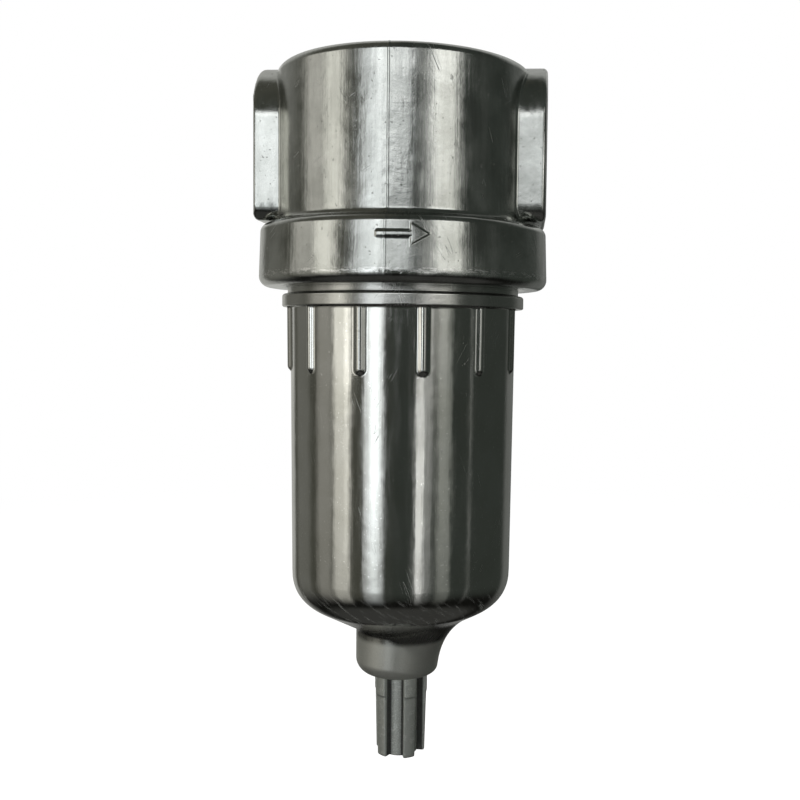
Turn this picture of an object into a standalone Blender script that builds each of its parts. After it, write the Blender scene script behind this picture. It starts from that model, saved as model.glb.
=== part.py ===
"""Compressed air filter: a ported head, a screw-on metal bowl, the filter element stack and a screw drain.

Heights run up the bowl's axis from the tip of the drain knob. Air enters at the -X port and leaves at the +X
port. Lengths below are in millimetres and become metres where a mesh is made.
"""

import math

import bmesh
import bpy
from mathutils import Matrix, Vector

MM = 0.001
WELD = 0.00001
GAP = 0.3
ROUND = 40
SMALL = 20

# Head
HEAD_TOP = 191.3
DRUM_R = 35.1
DRUM_EDGE = 1.8
SHOULDER_Z = 149.1
FLANGE_TOP_R = 39.4
FLANGE_TOP_EDGE = 2.0
FLANGE_R = 40.0
FLANGE_EDGE = 3.0
FLANGE_Z = 132.2
CAVITY_R = 29.6
CAVITY_TOP = 165.5

# Ports, tapped with a tapering pipe thread, in an arched block that stands a little over the drum
PORT_Z = 176.5
PORT_FACE_X = 39.2
PORT_BOSS_R = 16.0
PORT_BOSS_Z = SHOULDER_Z + 0.8
PORT_BOSS_EDGE = 1.2
PORT_BOSS_CORNER = 4.0
PORT_MOUTH_R = 9.6
PORT_BORE_R = 8.5
PORT_BORE_END_R = 8.1
PORT_CHAMFER = 1.1
PORT_DEPTH = 13.0
PASSAGE_R = 7.2
INLET_DROP_X = -20.5
INLET_DROP_R = 6.8

# Outlet spout inside the head, with a bridge across it that holds the stud
SPOUT_R = 12.0
SPOUT_Z = 152.9
SPOUT_BORE_R = 7.0
BRIDGE_Z = 154.0
BRIDGE_HEIGHT = 6.0
BRIDGE_WIDTH = 5.0
BRIDGE_HUB_R = 4.6

# Bowl thread: two helical ridges, half a pitch apart
THREAD_PITCH = 3.0
THREAD_TURNS = 2.75
THREAD_BORE_R = 31.6
FEMALE_CREST_R = 30.4
NECK_R = 30.0
MALE_CREST_R = 31.2
MALE_START_Z = 138.8
CREST_HALF = 0.2
ROOT_HALF = 0.9
ROOT_BITE = 0.4

# Bowl
BOWL_R = 31.35
BOWL_LOW_R = 30.7
WALL = 3.2
BOWL_IN_R = BOWL_LOW_R - WALL
NECK_TOP = 148.2
LAND_R = 32.1
LAND_TOP = 137.4
LAND_BORE_R = LAND_R + 0.5
GROOVE_R = 30.2
GROOVE_Z = 133.2
GROOVE_TOP = 135.8
COLLAR_R = 33.6
COLLAR_TOP = 130.4
COLLAR_Z = 126.9
EDGE = 0.6
WALL_END_Z = 49.0
KNUCKLE_R = 4.5
DOME_SLOPE = 28.0
BOSS_R = 13.0
BOSS_EDGE = 3.0
BOSS_Z = 23.5
FLOOR_Z = 27.0
WELL_R = 9.5

# Grip ribs
RIB_COUNT = 12
RIB_FIRST_DEG = 16.3
RIB_END_Z = 109.4
RIB_R = 1.35
RIB_PROUD = 0.95

# Element stack, hung below the spout
STUD_R = 2.5
GASKET = 0.8
HUB_HOLE_R = 8.7
DEFLECTOR_R = 29.0
DEFLECTOR_RIM = 1.6
DEFLECTOR_PLATE = 1.5
DEFLECTOR_CUP_R = SPOUT_R + 0.4
DEFLECTOR_CUP_WALL = 1.9
DEFLECTOR_HEIGHT = 8.0
VANE_COUNT = 12
VANE_TILT = 40.0
VANE_THICK = 1.2
VANE_HEIGHT = 7.2
VANE_BITE = 0.8
ELEMENT_R = 14.0
ELEMENT_BORE_R = 9.0
ELEMENT_LENGTH = 44.0
BAFFLE_R = 23.5
BAFFLE_SHEET = 1.5
BAFFLE_SKIRT = 8.0
BAFFLE_NOTCHES = 4
NOTCH_SIZE = (6.0, 9.0, 8.0)
WASHER = 1.0
WASHER_R = 5.0
SPRING_WASHER_R = 4.4
SLIT_WIDTH = 0.6
SLIT_TILT = 20.0
NUT_HEIGHT = 4.0
NUT_FLATS = 8.0
STUD_TAIL = 1.5

# Drain body
BODY_HOLE_R = 5.3
BODY_HEX_FLATS = 15.0
BODY_HEX_HEIGHT = 3.5
BODY_GASKET = 0.6
SHANK_R = 3.0
SHANK_END_Z = 8.8
SEAT_BORE_R = 1.5
SEAT_MOUTH_R = 2.3
SEAT_DEPTH = 1.2
CLIP_GROOVE_R = 2.6
CLIP_GROOVE_Z = 10.0
CLIP_THICK = 0.6
CLIP_R = 3.8
CLIP_MOUTH = 1.6

# Drain knob
KNOB_TOP = BOSS_Z - GAP
KNOB_R = 7.8
KNOB_STEP_Z = 17.5
KNOB_STEP_R = 7.55
KNOB_LOW_R = 7.1
KNOB_EDGE = 1.0
FLUTE_COUNT = 5
FLUTE_FLOOR_R = 5.0
FLUTE_HALF_DEG = 21.0
FLUTE_FIRST_DEG = -96.0
KNOB_BORE_R = SHANK_R + GAP
KNOB_CHAMBER_R = 4.1
KNOB_FLOOR_Z = 5.0
DRAIN_TRAVEL = 3.0
KNOB_RING_GROOVE_R = 4.45
KNOB_RING_Z = 19.4
KNOB_RING_CORD = 0.5
OUTLET_COUNT = 3
OUTLET_R = 0.85
OUTLET_RING_R = 2.9
NEEDLE_R = 1.2
NEEDLE_TOP = 7.1

# Heights of the stack, worked out downwards from the spout
SPOUT_GASKET_TOP = SPOUT_Z - GAP
DEFLECTOR_Z = SPOUT_GASKET_TOP - GASKET - GAP - DEFLECTOR_PLATE
ELEMENT_GASKET_TOP = DEFLECTOR_Z - GAP
ELEMENT_TOP = ELEMENT_GASKET_TOP - GASKET - GAP
ELEMENT_Z = ELEMENT_TOP - ELEMENT_LENGTH
BAFFLE_TOP = ELEMENT_Z - GAP - GASKET - GAP
WASHER_TOP = BAFFLE_TOP - BAFFLE_SHEET - GAP
SPRING_WASHER_TOP = WASHER_TOP - WASHER - GAP
NUT_TOP = SPRING_WASHER_TOP - WASHER - GAP
THREAD_RISE = THREAD_PITCH * THREAD_TURNS
THREAD_BORE_TOP = MALE_START_Z + THREAD_PITCH / 2 + THREAD_RISE + ROOT_HALF + GAP


def clear_scene():
    for old in list(bpy.data.objects):
        bpy.data.objects.remove(old, do_unlink=True)


def new_collection(name):
    made = bpy.data.collections.new(name)
    bpy.context.scene.collection.children.link(made)
    return made


def material(name, colour, roughness, metallic=0.0):
    made = bpy.data.materials.new(name)
    made.use_nodes = True
    shader = made.node_tree.nodes["Principled BSDF"]
    shader.inputs["Base Color"].default_value = (*colour, 1.0)
    shader.inputs["Roughness"].default_value = roughness
    shader.inputs["Metallic"].default_value = metallic
    made.diffuse_color = (*colour, 1.0)
    return made


clear_scene()
PARTS = new_collection("compressed_air_filter")
CUTTERS = new_collection("cutters")
CAST = material("cast_metal", (0.45, 0.46, 0.44), 0.32, 1.0)
POLISHED = material("polished_metal", (0.42, 0.42, 0.41), 0.25, 1.0)
MATTE_CAST = material("matte_cast_metal", (0.30, 0.31, 0.29), 0.5, 1.0)
BRASS = material("brass", (0.78, 0.60, 0.30), 0.3, 1.0)
STEEL = material("plated_steel", (0.62, 0.62, 0.60), 0.3, 1.0)
BRONZE = material("sintered_bronze", (0.55, 0.38, 0.22), 0.7, 0.6)
PLASTIC = material("dark_plastic", (0.05, 0.05, 0.055), 0.5)
RUBBER = material("nitrile_rubber", (0.02, 0.02, 0.02), 0.6)
FIBRE = material("gasket_fibre", (0.12, 0.14, 0.12), 0.8)


def place(made, cutter=False):
    """Put an object among the parts, or among the cutters, which are never rendered."""
    for holder in list(made.users_collection):
        holder.objects.unlink(made)
    (CUTTERS if cutter else PARTS).objects.link(made)
    made.hide_render = cutter
    made.display_type = "WIRE" if cutter else "TEXTURED"
    return made


def adopt(name):
    """Name the primitive that was just added and put it among the parts."""
    made = bpy.context.object
    made.name = name
    return place(made)


def polar(radius, degrees):
    turn = math.radians(degrees)
    return radius * math.cos(turn), radius * math.sin(turn)


def arc(centre, radius, start, end, steps=3):
    """Points round a centre, from one angle to another in degrees, both ends included."""
    points = []
    for i in range(steps + 1):
        x, y = polar(radius, start + (end - start) * i / steps)
        points.append((centre[0] + x, centre[1] + y))
    return points


def profile_object(name, profile):
    """An object whose mesh is only the outline that a Screw modifier will sweep."""
    mesh = bpy.data.meshes.new(name)
    points = [(r * MM, 0.0, z * MM) for r, z in profile]
    edges = [(i, i + 1) for i in range(len(points) - 1)]
    if profile[0][0] > 0:
        edges.append((len(points) - 1, 0))
    mesh.from_pydata(points, edges, [])
    return place(bpy.data.objects.new(name, mesh))


def turned(name, profile, steps=ROUND):
    """A turned solid from (radius, height) points: down the outer side, then back up the inner one.

    The profile closes on itself unless it starts and ends on the axis.
    """
    made = profile_object(name, profile)
    screw = made.modifiers.new("turn", "SCREW")
    screw.steps = steps
    screw.render_steps = steps
    screw.use_merge_vertices = True
    screw.merge_threshold = WELD
    return made


def evaluated_mesh(made):
    """The object's shape with its modifiers applied, in world space."""
    bpy.context.view_layer.update()
    graph = bpy.context.evaluated_depsgraph_get()
    mesh = bpy.data.meshes.new_from_object(made.evaluated_get(graph))
    mesh.transform(made.matrix_world)
    return mesh


def to_mesh_object(made, close_sides=0):
    """Swap an object for a plain welded mesh of its shape, closing open ends of up to close_sides edges."""
    name = made.name
    mesh = evaluated_mesh(made)
    bpy.data.objects.remove(made, do_unlink=True)
    work = bmesh.new()
    work.from_mesh(mesh)
    bmesh.ops.remove_doubles(work, verts=work.verts, dist=WELD)
    if close_sides:
        bmesh.ops.holes_fill(work, edges=work.edges, sides=close_sides)
    bmesh.ops.recalc_face_normals(work, faces=work.faces)
    work.to_mesh(mesh)
    work.free()
    return place(bpy.data.objects.new(name, mesh))


def thread_ridge(name, root_r, crest_r, start_z):
    """A right-hand helical ridge with blunt ends, rooted inside the wall that it stands on."""
    into_wall = ROOT_BITE if crest_r > root_r else -ROOT_BITE
    flank = (ROOT_HALF - CREST_HALF) / abs(crest_r - root_r)
    foot_half = ROOT_HALF + flank * ROOT_BITE
    made = profile_object(
        name,
        [
            (root_r - into_wall, start_z - foot_half),
            (crest_r, start_z - CREST_HALF),
            (crest_r, start_z + CREST_HALF),
            (root_r - into_wall, start_z + foot_half),
        ],
    )
    screw = made.modifiers.new("helix", "SCREW")
    screw.angle = math.tau * THREAD_TURNS
    screw.screw_offset = THREAD_RISE * MM
    screw.steps = round(ROUND * THREAD_TURNS)
    screw.render_steps = screw.steps
    made.rotation_euler.z = math.pi / ROUND
    return to_mesh_object(made, close_sides=4)


def plate(name, outline, bottom, top):
    """A flat outline of (x, y) points, thick from one height to the other."""
    curve = bpy.data.curves.new(name, "CURVE")
    curve.dimensions = "2D"
    curve.fill_mode = "BOTH"
    curve.extrude = (top - bottom) / 2 * MM
    line = curve.splines.new("POLY")
    line.points.add(len(outline) - 1)
    for point, (x, y) in zip(line.points, outline):
        point.co = (x * MM, y * MM, 0.0, 1.0)
    line.use_cyclic_u = True
    made = place(bpy.data.objects.new(name, curve))
    made.location.z = (top + bottom) / 2 * MM
    return to_mesh_object(made)


def rod(name, low, high, low_r, high_r, steps=SMALL):
    """A cylinder, or a cone with its tip cut off, between two points."""
    low, high = Vector(low), Vector(high)
    run = high - low
    bpy.ops.mesh.primitive_cone_add(
        vertices=steps,
        radius1=low_r * MM,
        radius2=high_r * MM,
        depth=run.length * MM,
        location=(low + high) / 2 * MM,
        rotation=run.to_track_quat("Z", "Y").to_euler(),
    )
    return adopt(name)


def upright(name, radius, low, high, x=0.0, y=0.0, steps=SMALL):
    """A vertical cylinder."""
    return rod(name, (x, y, low), (x, y, high), radius, radius, steps)


def box_ring(name, count, size, centre, tilt_deg=0.0):
    """Equal boxes spaced round the axis, each tilted about the line that runs out through its middle."""
    shape = Matrix.Translation(Vector(centre) * MM)
    shape @= Matrix.Rotation(math.radians(tilt_deg), 4, "X")
    shape @= Matrix.Diagonal((*(side * MM for side in size), 1.0))
    work = bmesh.new()
    for i in range(count):
        turn = Matrix.Rotation(math.tau * i / count, 4, "Z")
        bmesh.ops.create_cube(work, size=1.0, matrix=turn @ shape)
    mesh = bpy.data.meshes.new(name)
    work.to_mesh(mesh)
    work.free()
    return place(bpy.data.objects.new(name, mesh))


def flat_ring(name, inner_r, outer_r, bottom, top, steps=SMALL):
    return turned(name, [(outer_r, top), (outer_r, bottom), (inner_r, bottom), (inner_r, top)], steps)


def o_ring(name, ring_r, cord_r, height, steps=ROUND):
    bpy.ops.mesh.primitive_torus_add(
        major_radius=ring_r * MM,
        minor_radius=cord_r * MM,
        major_segments=steps,
        minor_segments=10,
        location=(0.0, 0.0, height * MM),
    )
    return adopt(name)


def hex_plate(name, flats, bottom, top):
    corner_r = flats / 2 / math.cos(math.radians(30))
    return plate(name, [polar(corner_r, 60 * i) for i in range(6)], bottom, top)


def boolean(target, operation, *tools):
    """Join tools to the target, or cut or trim it with them, one after another."""
    for tool in tools:
        place(tool, cutter=True)
        step = target.modifiers.new(tool.name, "BOOLEAN")
        step.operation = operation
        step.solver = "EXACT"
        step.object = tool
    return target


def axis_empty(name, height, parent=None):
    """An empty on the filter's axis, which carries the pieces of one moving body."""
    made = place(bpy.data.objects.new(name, None))
    made.empty_display_size = 0.01
    made.location.z = height * MM
    if parent:
        bpy.context.view_layer.update()
        made.parent = parent
        made.matrix_parent_inverse = parent.matrix_world.inverted()
    return made


def finish(made, own_material, parent=None):
    """Fix a sub-part's final shape and give it its material, its shading and, if it moves, its parent."""
    mesh = evaluated_mesh(made)
    made.modifiers.clear()
    made.data = mesh
    made.matrix_world = Matrix.Identity(4)
    mesh.materials.clear()
    mesh.materials.append(own_material)
    mesh.shade_smooth()
    mesh.set_sharp_from_angle(angle=math.radians(35))
    if parent:
        bpy.context.view_layer.update()
        made.parent = parent
        made.matrix_parent_inverse = parent.matrix_world.inverted()
    return made


def port_block():
    """The arch-topped block that runs through the head and ends in the two port faces."""
    low = PORT_BOSS_Z + PORT_BOSS_CORNER
    side = PORT_BOSS_R - PORT_BOSS_CORNER
    outline = arc((PORT_Z, 0.0), PORT_BOSS_R, 90, -90, 12)
    outline += arc((low, -side), PORT_BOSS_CORNER, -90, -180, 3)
    outline += arc((low, side), PORT_BOSS_CORNER, 180, 90, 3)
    made = plate("port_block", outline, -PORT_FACE_X, PORT_FACE_X)
    made.data.transform(Matrix.Rotation(math.radians(-90), 4, "Y"))
    edge = made.modifiers.new("edges", "BEVEL")
    edge.width = PORT_BOSS_EDGE * MM
    edge.segments = 2
    edge.angle_limit = math.radians(40)
    return made


def port_cutters(name, side):
    """A port's chamfered mouth, its tapered tapping bore and the passage behind it."""
    mouth = (side * (PORT_FACE_X + 1.0), 0.0, PORT_Z)
    chamfer_end = (side * (PORT_FACE_X - PORT_CHAMFER), 0.0, PORT_Z)
    tapped_end = (side * (PORT_FACE_X - PORT_DEPTH), 0.0, PORT_Z)
    outer_r = PORT_MOUTH_R + (PORT_MOUTH_R - PORT_BORE_R) / PORT_CHAMFER
    passage_end = -GAP if side > 0 else INLET_DROP_X + PASSAGE_R
    return [
        rod(name + "_chamfer", chamfer_end, mouth, PORT_BORE_R, outer_r, ROUND),
        rod(name + "_tapping", tapped_end, mouth, PORT_BORE_END_R, PORT_BORE_R, ROUND),
        rod(name + "_passage", (passage_end, 0.0, PORT_Z), mouth, PASSAGE_R, PASSAGE_R, ROUND),
    ]


def head_cavity():
    """The space round the outlet spout, stepped for the bowl's thread and seal, open at the flange."""
    return turned(
        "head_cavity",
        [
            (0.0, SPOUT_Z),
            (SPOUT_R, SPOUT_Z),
            (SPOUT_R, CAVITY_TOP),
            (CAVITY_R, CAVITY_TOP),
            (CAVITY_R, THREAD_BORE_TOP + 1.5),
            (THREAD_BORE_R, THREAD_BORE_TOP),
            (THREAD_BORE_R, LAND_TOP + GAP + 1.0),
            (LAND_BORE_R, LAND_TOP + GAP),
            (LAND_BORE_R, FLANGE_Z + EDGE),
            (LAND_BORE_R + 2 * EDGE, FLANGE_Z - EDGE),
            (0.0, FLANGE_Z - EDGE),
        ],
    )


def make_head():
    profile = [(0.0, HEAD_TOP)]
    profile += arc((DRUM_R - DRUM_EDGE, HEAD_TOP - DRUM_EDGE), DRUM_EDGE, 90, 0)
    profile += arc((DRUM_R + DRUM_EDGE, SHOULDER_Z + DRUM_EDGE), DRUM_EDGE, 180, 270, 2)
    profile += arc(
        (FLANGE_TOP_R - FLANGE_TOP_EDGE, SHOULDER_Z - FLANGE_TOP_EDGE), FLANGE_TOP_EDGE, 90, 0
    )
    profile += arc((FLANGE_R - FLANGE_EDGE, FLANGE_Z + FLANGE_EDGE), FLANGE_EDGE, 0, -90)
    profile += [(0.0, FLANGE_Z)]
    head = turned("head", profile)
    boolean(head, "UNION", port_block())
    boolean(head, "DIFFERENCE", head_cavity(), *port_cutters("inlet", -1), *port_cutters("outlet", 1))
    boolean(
        head,
        "DIFFERENCE",
        upright("inlet_drop", INLET_DROP_R, CAVITY_TOP - 1.0, PORT_Z, x=INLET_DROP_X),
        upright("spout_bore", SPOUT_BORE_R, SPOUT_Z - 1.0, PORT_Z),
    )
    bridge_middle = BRIDGE_Z + BRIDGE_HEIGHT / 2
    bar_size = (BRIDGE_WIDTH, 2 * SPOUT_BORE_R + 2.0, BRIDGE_HEIGHT)
    boolean(
        head,
        "UNION",
        box_ring("bridge_bar", 1, bar_size, (0.0, 0.0, bridge_middle)),
        upright("bridge_hub", BRIDGE_HUB_R, BRIDGE_Z - 0.2, BRIDGE_Z + BRIDGE_HEIGHT + 0.2),
        thread_ridge("female_thread", THREAD_BORE_R, FEMALE_CREST_R, MALE_START_Z + THREAD_PITCH / 2),
    )
    bridge_top = BRIDGE_Z + BRIDGE_HEIGHT + 1.0
    boolean(head, "DIFFERENCE", upright("stud_hole", STUD_R + GAP, BRIDGE_Z - 1.0, bridge_top))
    return finish(head, CAST)


def make_deflector():
    """A cup round the spout, an outer rim, and slanted vanes between them that swirl the air."""
    top = DEFLECTOR_Z + DEFLECTOR_HEIGHT
    cup_r = DEFLECTOR_CUP_R + DEFLECTOR_CUP_WALL
    cup = turned(
        "deflector",
        [
            (cup_r, top),
            (cup_r, DEFLECTOR_Z),
            (HUB_HOLE_R, DEFLECTOR_Z),
            (HUB_HOLE_R, DEFLECTOR_Z + DEFLECTOR_PLATE),
            (DEFLECTOR_CUP_R, DEFLECTOR_Z + DEFLECTOR_PLATE),
            (DEFLECTOR_CUP_R, top),
        ],
    )
    rim_in_r = DEFLECTOR_R - DEFLECTOR_RIM
    vane_in_r = cup_r - VANE_BITE
    vane_out_r = rim_in_r + VANE_BITE
    vane_size = (vane_out_r - vane_in_r, VANE_THICK, VANE_HEIGHT)
    vane_middle = ((vane_out_r + vane_in_r) / 2, 0.0, DEFLECTOR_Z + DEFLECTOR_HEIGHT / 2)
    boolean(
        cup,
        "UNION",
        box_ring("vanes", VANE_COUNT, vane_size, vane_middle, VANE_TILT),
        flat_ring("deflector_rim", rim_in_r, DEFLECTOR_R, DEFLECTOR_Z + 0.5, top, ROUND),
    )
    return finish(cup, PLASTIC)


def make_element_stack():
    finish(
        flat_ring("deflector_gasket", HUB_HOLE_R, SPOUT_R - 0.2, SPOUT_GASKET_TOP - GASKET, SPOUT_GASKET_TOP),
        FIBRE,
    )
    make_deflector()
    finish(
        flat_ring(
            "element_top_gasket", HUB_HOLE_R, ELEMENT_R, ELEMENT_GASKET_TOP - GASKET, ELEMENT_GASKET_TOP
        ),
        FIBRE,
    )
    finish(flat_ring("filter_element", ELEMENT_BORE_R, ELEMENT_R, ELEMENT_Z, ELEMENT_TOP, ROUND), BRONZE)
    finish(
        flat_ring(
            "element_bottom_gasket", STUD_R + GAP, ELEMENT_R, BAFFLE_TOP + GAP, BAFFLE_TOP + GAP + GASKET
        ),
        FIBRE,
    )


def make_baffle():
    """A disc with a notched skirt, which keeps the swirl away from the collected water."""
    hole_r = STUD_R + GAP
    under = BAFFLE_TOP - BAFFLE_SHEET
    skirt_z = BAFFLE_TOP - BAFFLE_SKIRT
    baffle = turned(
        "baffle",
        [
            (BAFFLE_R - 1.0, BAFFLE_TOP),
            (BAFFLE_R, BAFFLE_TOP - 1.0),
            (BAFFLE_R, skirt_z),
            (BAFFLE_R - BAFFLE_SHEET, skirt_z),
            (BAFFLE_R - BAFFLE_SHEET, under),
            (hole_r, under),
            (hole_r, BAFFLE_TOP),
        ],
    )
    notches = box_ring("notches", BAFFLE_NOTCHES, NOTCH_SIZE, (BAFFLE_R, 0.0, skirt_z))
    return finish(boolean(baffle, "DIFFERENCE", notches), PLASTIC)


def make_stud_hardware():
    hole_r = STUD_R + GAP
    finish(flat_ring("flat_washer", hole_r, WASHER_R, WASHER_TOP - WASHER, WASHER_TOP), STEEL)
    spring = flat_ring(
        "spring_washer", hole_r, SPRING_WASHER_R, SPRING_WASHER_TOP - WASHER, SPRING_WASHER_TOP
    )
    slit_size = (2 * SPRING_WASHER_R, SLIT_WIDTH, 4 * WASHER)
    slit_centre = (SPRING_WASHER_R, 0.0, SPRING_WASHER_TOP - WASHER / 2)
    slit = box_ring("slit", 1, slit_size, slit_centre, SLIT_TILT)
    finish(boolean(spring, "DIFFERENCE", slit), STEEL)
    nut = hex_plate("stud_nut", NUT_FLATS, NUT_TOP - NUT_HEIGHT, NUT_TOP)
    tapping = upright("nut_tapping", hole_r, NUT_TOP - NUT_HEIGHT - 1.0, NUT_TOP + 1.0)
    finish(boolean(nut, "DIFFERENCE", tapping), STEEL)
    stud_z = NUT_TOP - NUT_HEIGHT - STUD_TAIL
    finish(upright("tie_stud", STUD_R, stud_z, BRIDGE_Z + BRIDGE_HEIGHT), STEEL)


def bowl_profile():
    """Down the outside of the bowl to its drain hole, then up the inside."""
    knuckle_x = BOWL_LOW_R - KNUCKLE_R
    outside = [
        (NECK_R - EDGE, NECK_TOP),
        (NECK_R, NECK_TOP - EDGE),
        (NECK_R, LAND_TOP),
        (LAND_R - EDGE, LAND_TOP),
        (LAND_R, LAND_TOP - EDGE),
        (LAND_R, GROOVE_TOP),
        (GROOVE_R, GROOVE_TOP),
        (GROOVE_R, GROOVE_Z),
        (LAND_R, GROOVE_Z),
        (LAND_R, COLLAR_TOP),
        (COLLAR_R - EDGE, COLLAR_TOP),
        (COLLAR_R, COLLAR_TOP - EDGE),
        (COLLAR_R, COLLAR_Z),
        (BOWL_R, COLLAR_Z),
    ]
    outside += arc((knuckle_x, WALL_END_Z), KNUCKLE_R, 0, DOME_SLOPE - 90)
    dome_r, dome_z = outside[-1]
    slope = math.tan(math.radians(DOME_SLOPE))
    outside += [(BOSS_R, dome_z - (dome_r - BOSS_R) * slope)]
    outside += arc((BOSS_R - BOSS_EDGE, BOSS_Z + BOSS_EDGE), BOSS_EDGE, 0, -90)
    outside += [(BODY_HOLE_R, BOSS_Z)]
    inner_knuckle = arc((knuckle_x, WALL_END_Z), KNUCKLE_R - WALL, DOME_SLOPE - 90, 0, 2)
    cone_r, cone_z = inner_knuckle[0]
    inside = [
        (BODY_HOLE_R, FLOOR_Z),
        (WELL_R, FLOOR_Z),
        (WELL_R, cone_z - (cone_r - WELL_R) * slope),
    ]
    return outside + inside + inner_knuckle + [(BOWL_IN_R, NECK_TOP)]


def grip_ribs():
    """Round-backed ribs that run down from the collar, each a little slimmer at its rounded foot."""
    ball_z = RIB_END_Z + RIB_R
    length = COLLAR_Z + RIB_R - 0.2 - ball_z
    work = bmesh.new()
    for i in range(RIB_COUNT):
        x, y = polar(BOWL_R + RIB_PROUD - RIB_R, RIB_FIRST_DEG + 360 * i / RIB_COUNT)
        where = Matrix.Translation(Vector((x, y, ball_z)) * MM)
        ball = bmesh.ops.create_uvsphere(
            work, u_segments=10, v_segments=6, radius=RIB_R * MM, matrix=where
        )
        for vert in ball["verts"]:
            if vert.co.z > (ball_z - RIB_R / 10) * MM:
                vert.co.z += length * MM
    mesh = bpy.data.meshes.new("grip_ribs")
    work.to_mesh(mesh)
    work.free()
    return place(bpy.data.objects.new("grip_ribs", mesh))


def make_bowl(parent):
    bowl = turned("bowl", bowl_profile())
    boolean(bowl, "UNION", grip_ribs(), thread_ridge("male_thread", NECK_R, MALE_CREST_R, MALE_START_Z))
    return finish(bowl, POLISHED, parent)


def make_drain_body(parent):
    """A hex-headed fitting screwed through the bowl's floor, with the drain seat at its lower end."""
    hex_z = FLOOR_Z + GAP + BODY_GASKET + GAP
    hex_top = hex_z + BODY_HEX_HEIGHT
    clip_groove_top = CLIP_GROOVE_Z + CLIP_THICK + 2 * GAP
    body = turned(
        "drain_body",
        [
            (0.0, hex_top - 0.5),
            (BODY_HOLE_R - GAP, hex_top - 0.5),
            (BODY_HOLE_R - GAP, BOSS_Z + 0.1),
            (SHANK_R, BOSS_Z + 0.1),
            (SHANK_R, clip_groove_top),
            (CLIP_GROOVE_R, clip_groove_top),
            (CLIP_GROOVE_R, CLIP_GROOVE_Z),
            (SHANK_R, CLIP_GROOVE_Z),
            (SHANK_R, SHANK_END_Z),
            (0.0, SHANK_END_Z),
        ],
        SMALL,
    )
    way = turned(
        "drain_way",
        [
            (0.0, hex_top + 1.0),
            (SEAT_BORE_R + 2.0, hex_top + 1.0),
            (SEAT_BORE_R, hex_top - 1.0),
            (SEAT_BORE_R, SHANK_END_Z + SEAT_DEPTH),
            (SEAT_MOUTH_R, SHANK_END_Z),
            (SEAT_MOUTH_R, SHANK_END_Z - 1.0),
            (0.0, SHANK_END_Z - 1.0),
        ],
        SMALL,
    )
    boolean(body, "UNION", hex_plate("body_hex", BODY_HEX_FLATS, hex_z, hex_top))
    boolean(body, "DIFFERENCE", way)
    finish(body, BRASS, parent)
    gasket_z = FLOOR_Z + GAP
    gasket = flat_ring("drain_gasket", BODY_HOLE_R, WELL_R - 0.8, gasket_z, gasket_z + BODY_GASKET)
    finish(gasket, FIBRE, parent)
    clip_z = CLIP_GROOVE_Z + GAP
    clip = flat_ring("knob_stop_ring", CLIP_GROOVE_R + GAP, CLIP_R, clip_z, clip_z + CLIP_THICK)
    clip_gap = box_ring("clip_gap", 1, (2 * CLIP_R, CLIP_MOUTH, 4 * CLIP_THICK), (-CLIP_R, 0.0, clip_z))
    finish(boolean(clip, "DIFFERENCE", clip_gap), STEEL, parent)


def knob_outline():
    """The knob's fluted outline: lobes that stand wider than the knob, and round flute floors."""
    pitch = 360 / FLUTE_COUNT
    outline = []
    for i in range(FLUTE_COUNT):
        flute = FLUTE_FIRST_DEG + pitch * i
        outline += arc((0, 0), FLUTE_FLOOR_R, flute - FLUTE_HALF_DEG, flute + FLUTE_HALF_DEG, 3)
        lobe_start = flute + FLUTE_HALF_DEG
        lobe_end = flute + pitch - FLUTE_HALF_DEG
        outline += arc((0, 0), KNOB_R + 2.0, lobe_start, lobe_end, 2)
    return outline


def outlet_drills():
    work = bmesh.new()
    for i in range(OUTLET_COUNT):
        x, y = polar(OUTLET_RING_R, 360 * (i + 0.5) / OUTLET_COUNT)
        where = Matrix.Translation(Vector((x, y, KNOB_FLOOR_Z / 2)) * MM)
        bmesh.ops.create_cone(
            work,
            cap_ends=True,
            segments=12,
            radius1=OUTLET_R * MM,
            radius2=OUTLET_R * MM,
            depth=(KNOB_FLOOR_Z + 2.0) * MM,
            matrix=where,
        )
    mesh = bpy.data.meshes.new("outlet_drills")
    work.to_mesh(mesh)
    work.free()
    return place(bpy.data.objects.new("outlet_drills", mesh))


def make_drain_knob(parent):
    """A fluted knob, hollow round the drain body's shank, with outlet holes round its needle."""
    chamber_top = CLIP_GROOVE_Z + 2 * GAP + CLIP_THICK + DRAIN_TRAVEL
    groove_half = KNOB_RING_CORD + GAP
    knob = turned(
        "drain_knob",
        [
            (KNOB_R, KNOB_TOP),
            (KNOB_STEP_R + 0.15, KNOB_STEP_Z),
            (KNOB_STEP_R, KNOB_STEP_Z - 0.2),
            (KNOB_LOW_R, KNOB_EDGE),
            (KNOB_LOW_R - KNOB_EDGE / 3, KNOB_EDGE / 3),
            (KNOB_LOW_R - KNOB_EDGE, 0.0),
            (NEEDLE_R + GAP, 0.0),
            (NEEDLE_R + GAP, KNOB_FLOOR_Z),
            (KNOB_CHAMBER_R, KNOB_FLOOR_Z),
            (KNOB_CHAMBER_R, chamber_top),
            (KNOB_BORE_R, chamber_top),
            (KNOB_BORE_R, KNOB_RING_Z - groove_half),
            (KNOB_RING_GROOVE_R, KNOB_RING_Z - groove_half),
            (KNOB_RING_GROOVE_R, KNOB_RING_Z + groove_half),
            (KNOB_BORE_R, KNOB_RING_Z + groove_half),
            (KNOB_BORE_R, KNOB_TOP),
        ],
    )
    boolean(knob, "INTERSECT", plate("flutes", knob_outline(), -1.0, KNOB_TOP + 1.0))
    boolean(knob, "DIFFERENCE", outlet_drills())
    finish(knob, MATTE_CAST, parent)
    finish(upright("drain_needle", NEEDLE_R, 2 * GAP, NEEDLE_TOP), BRASS, parent)


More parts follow.
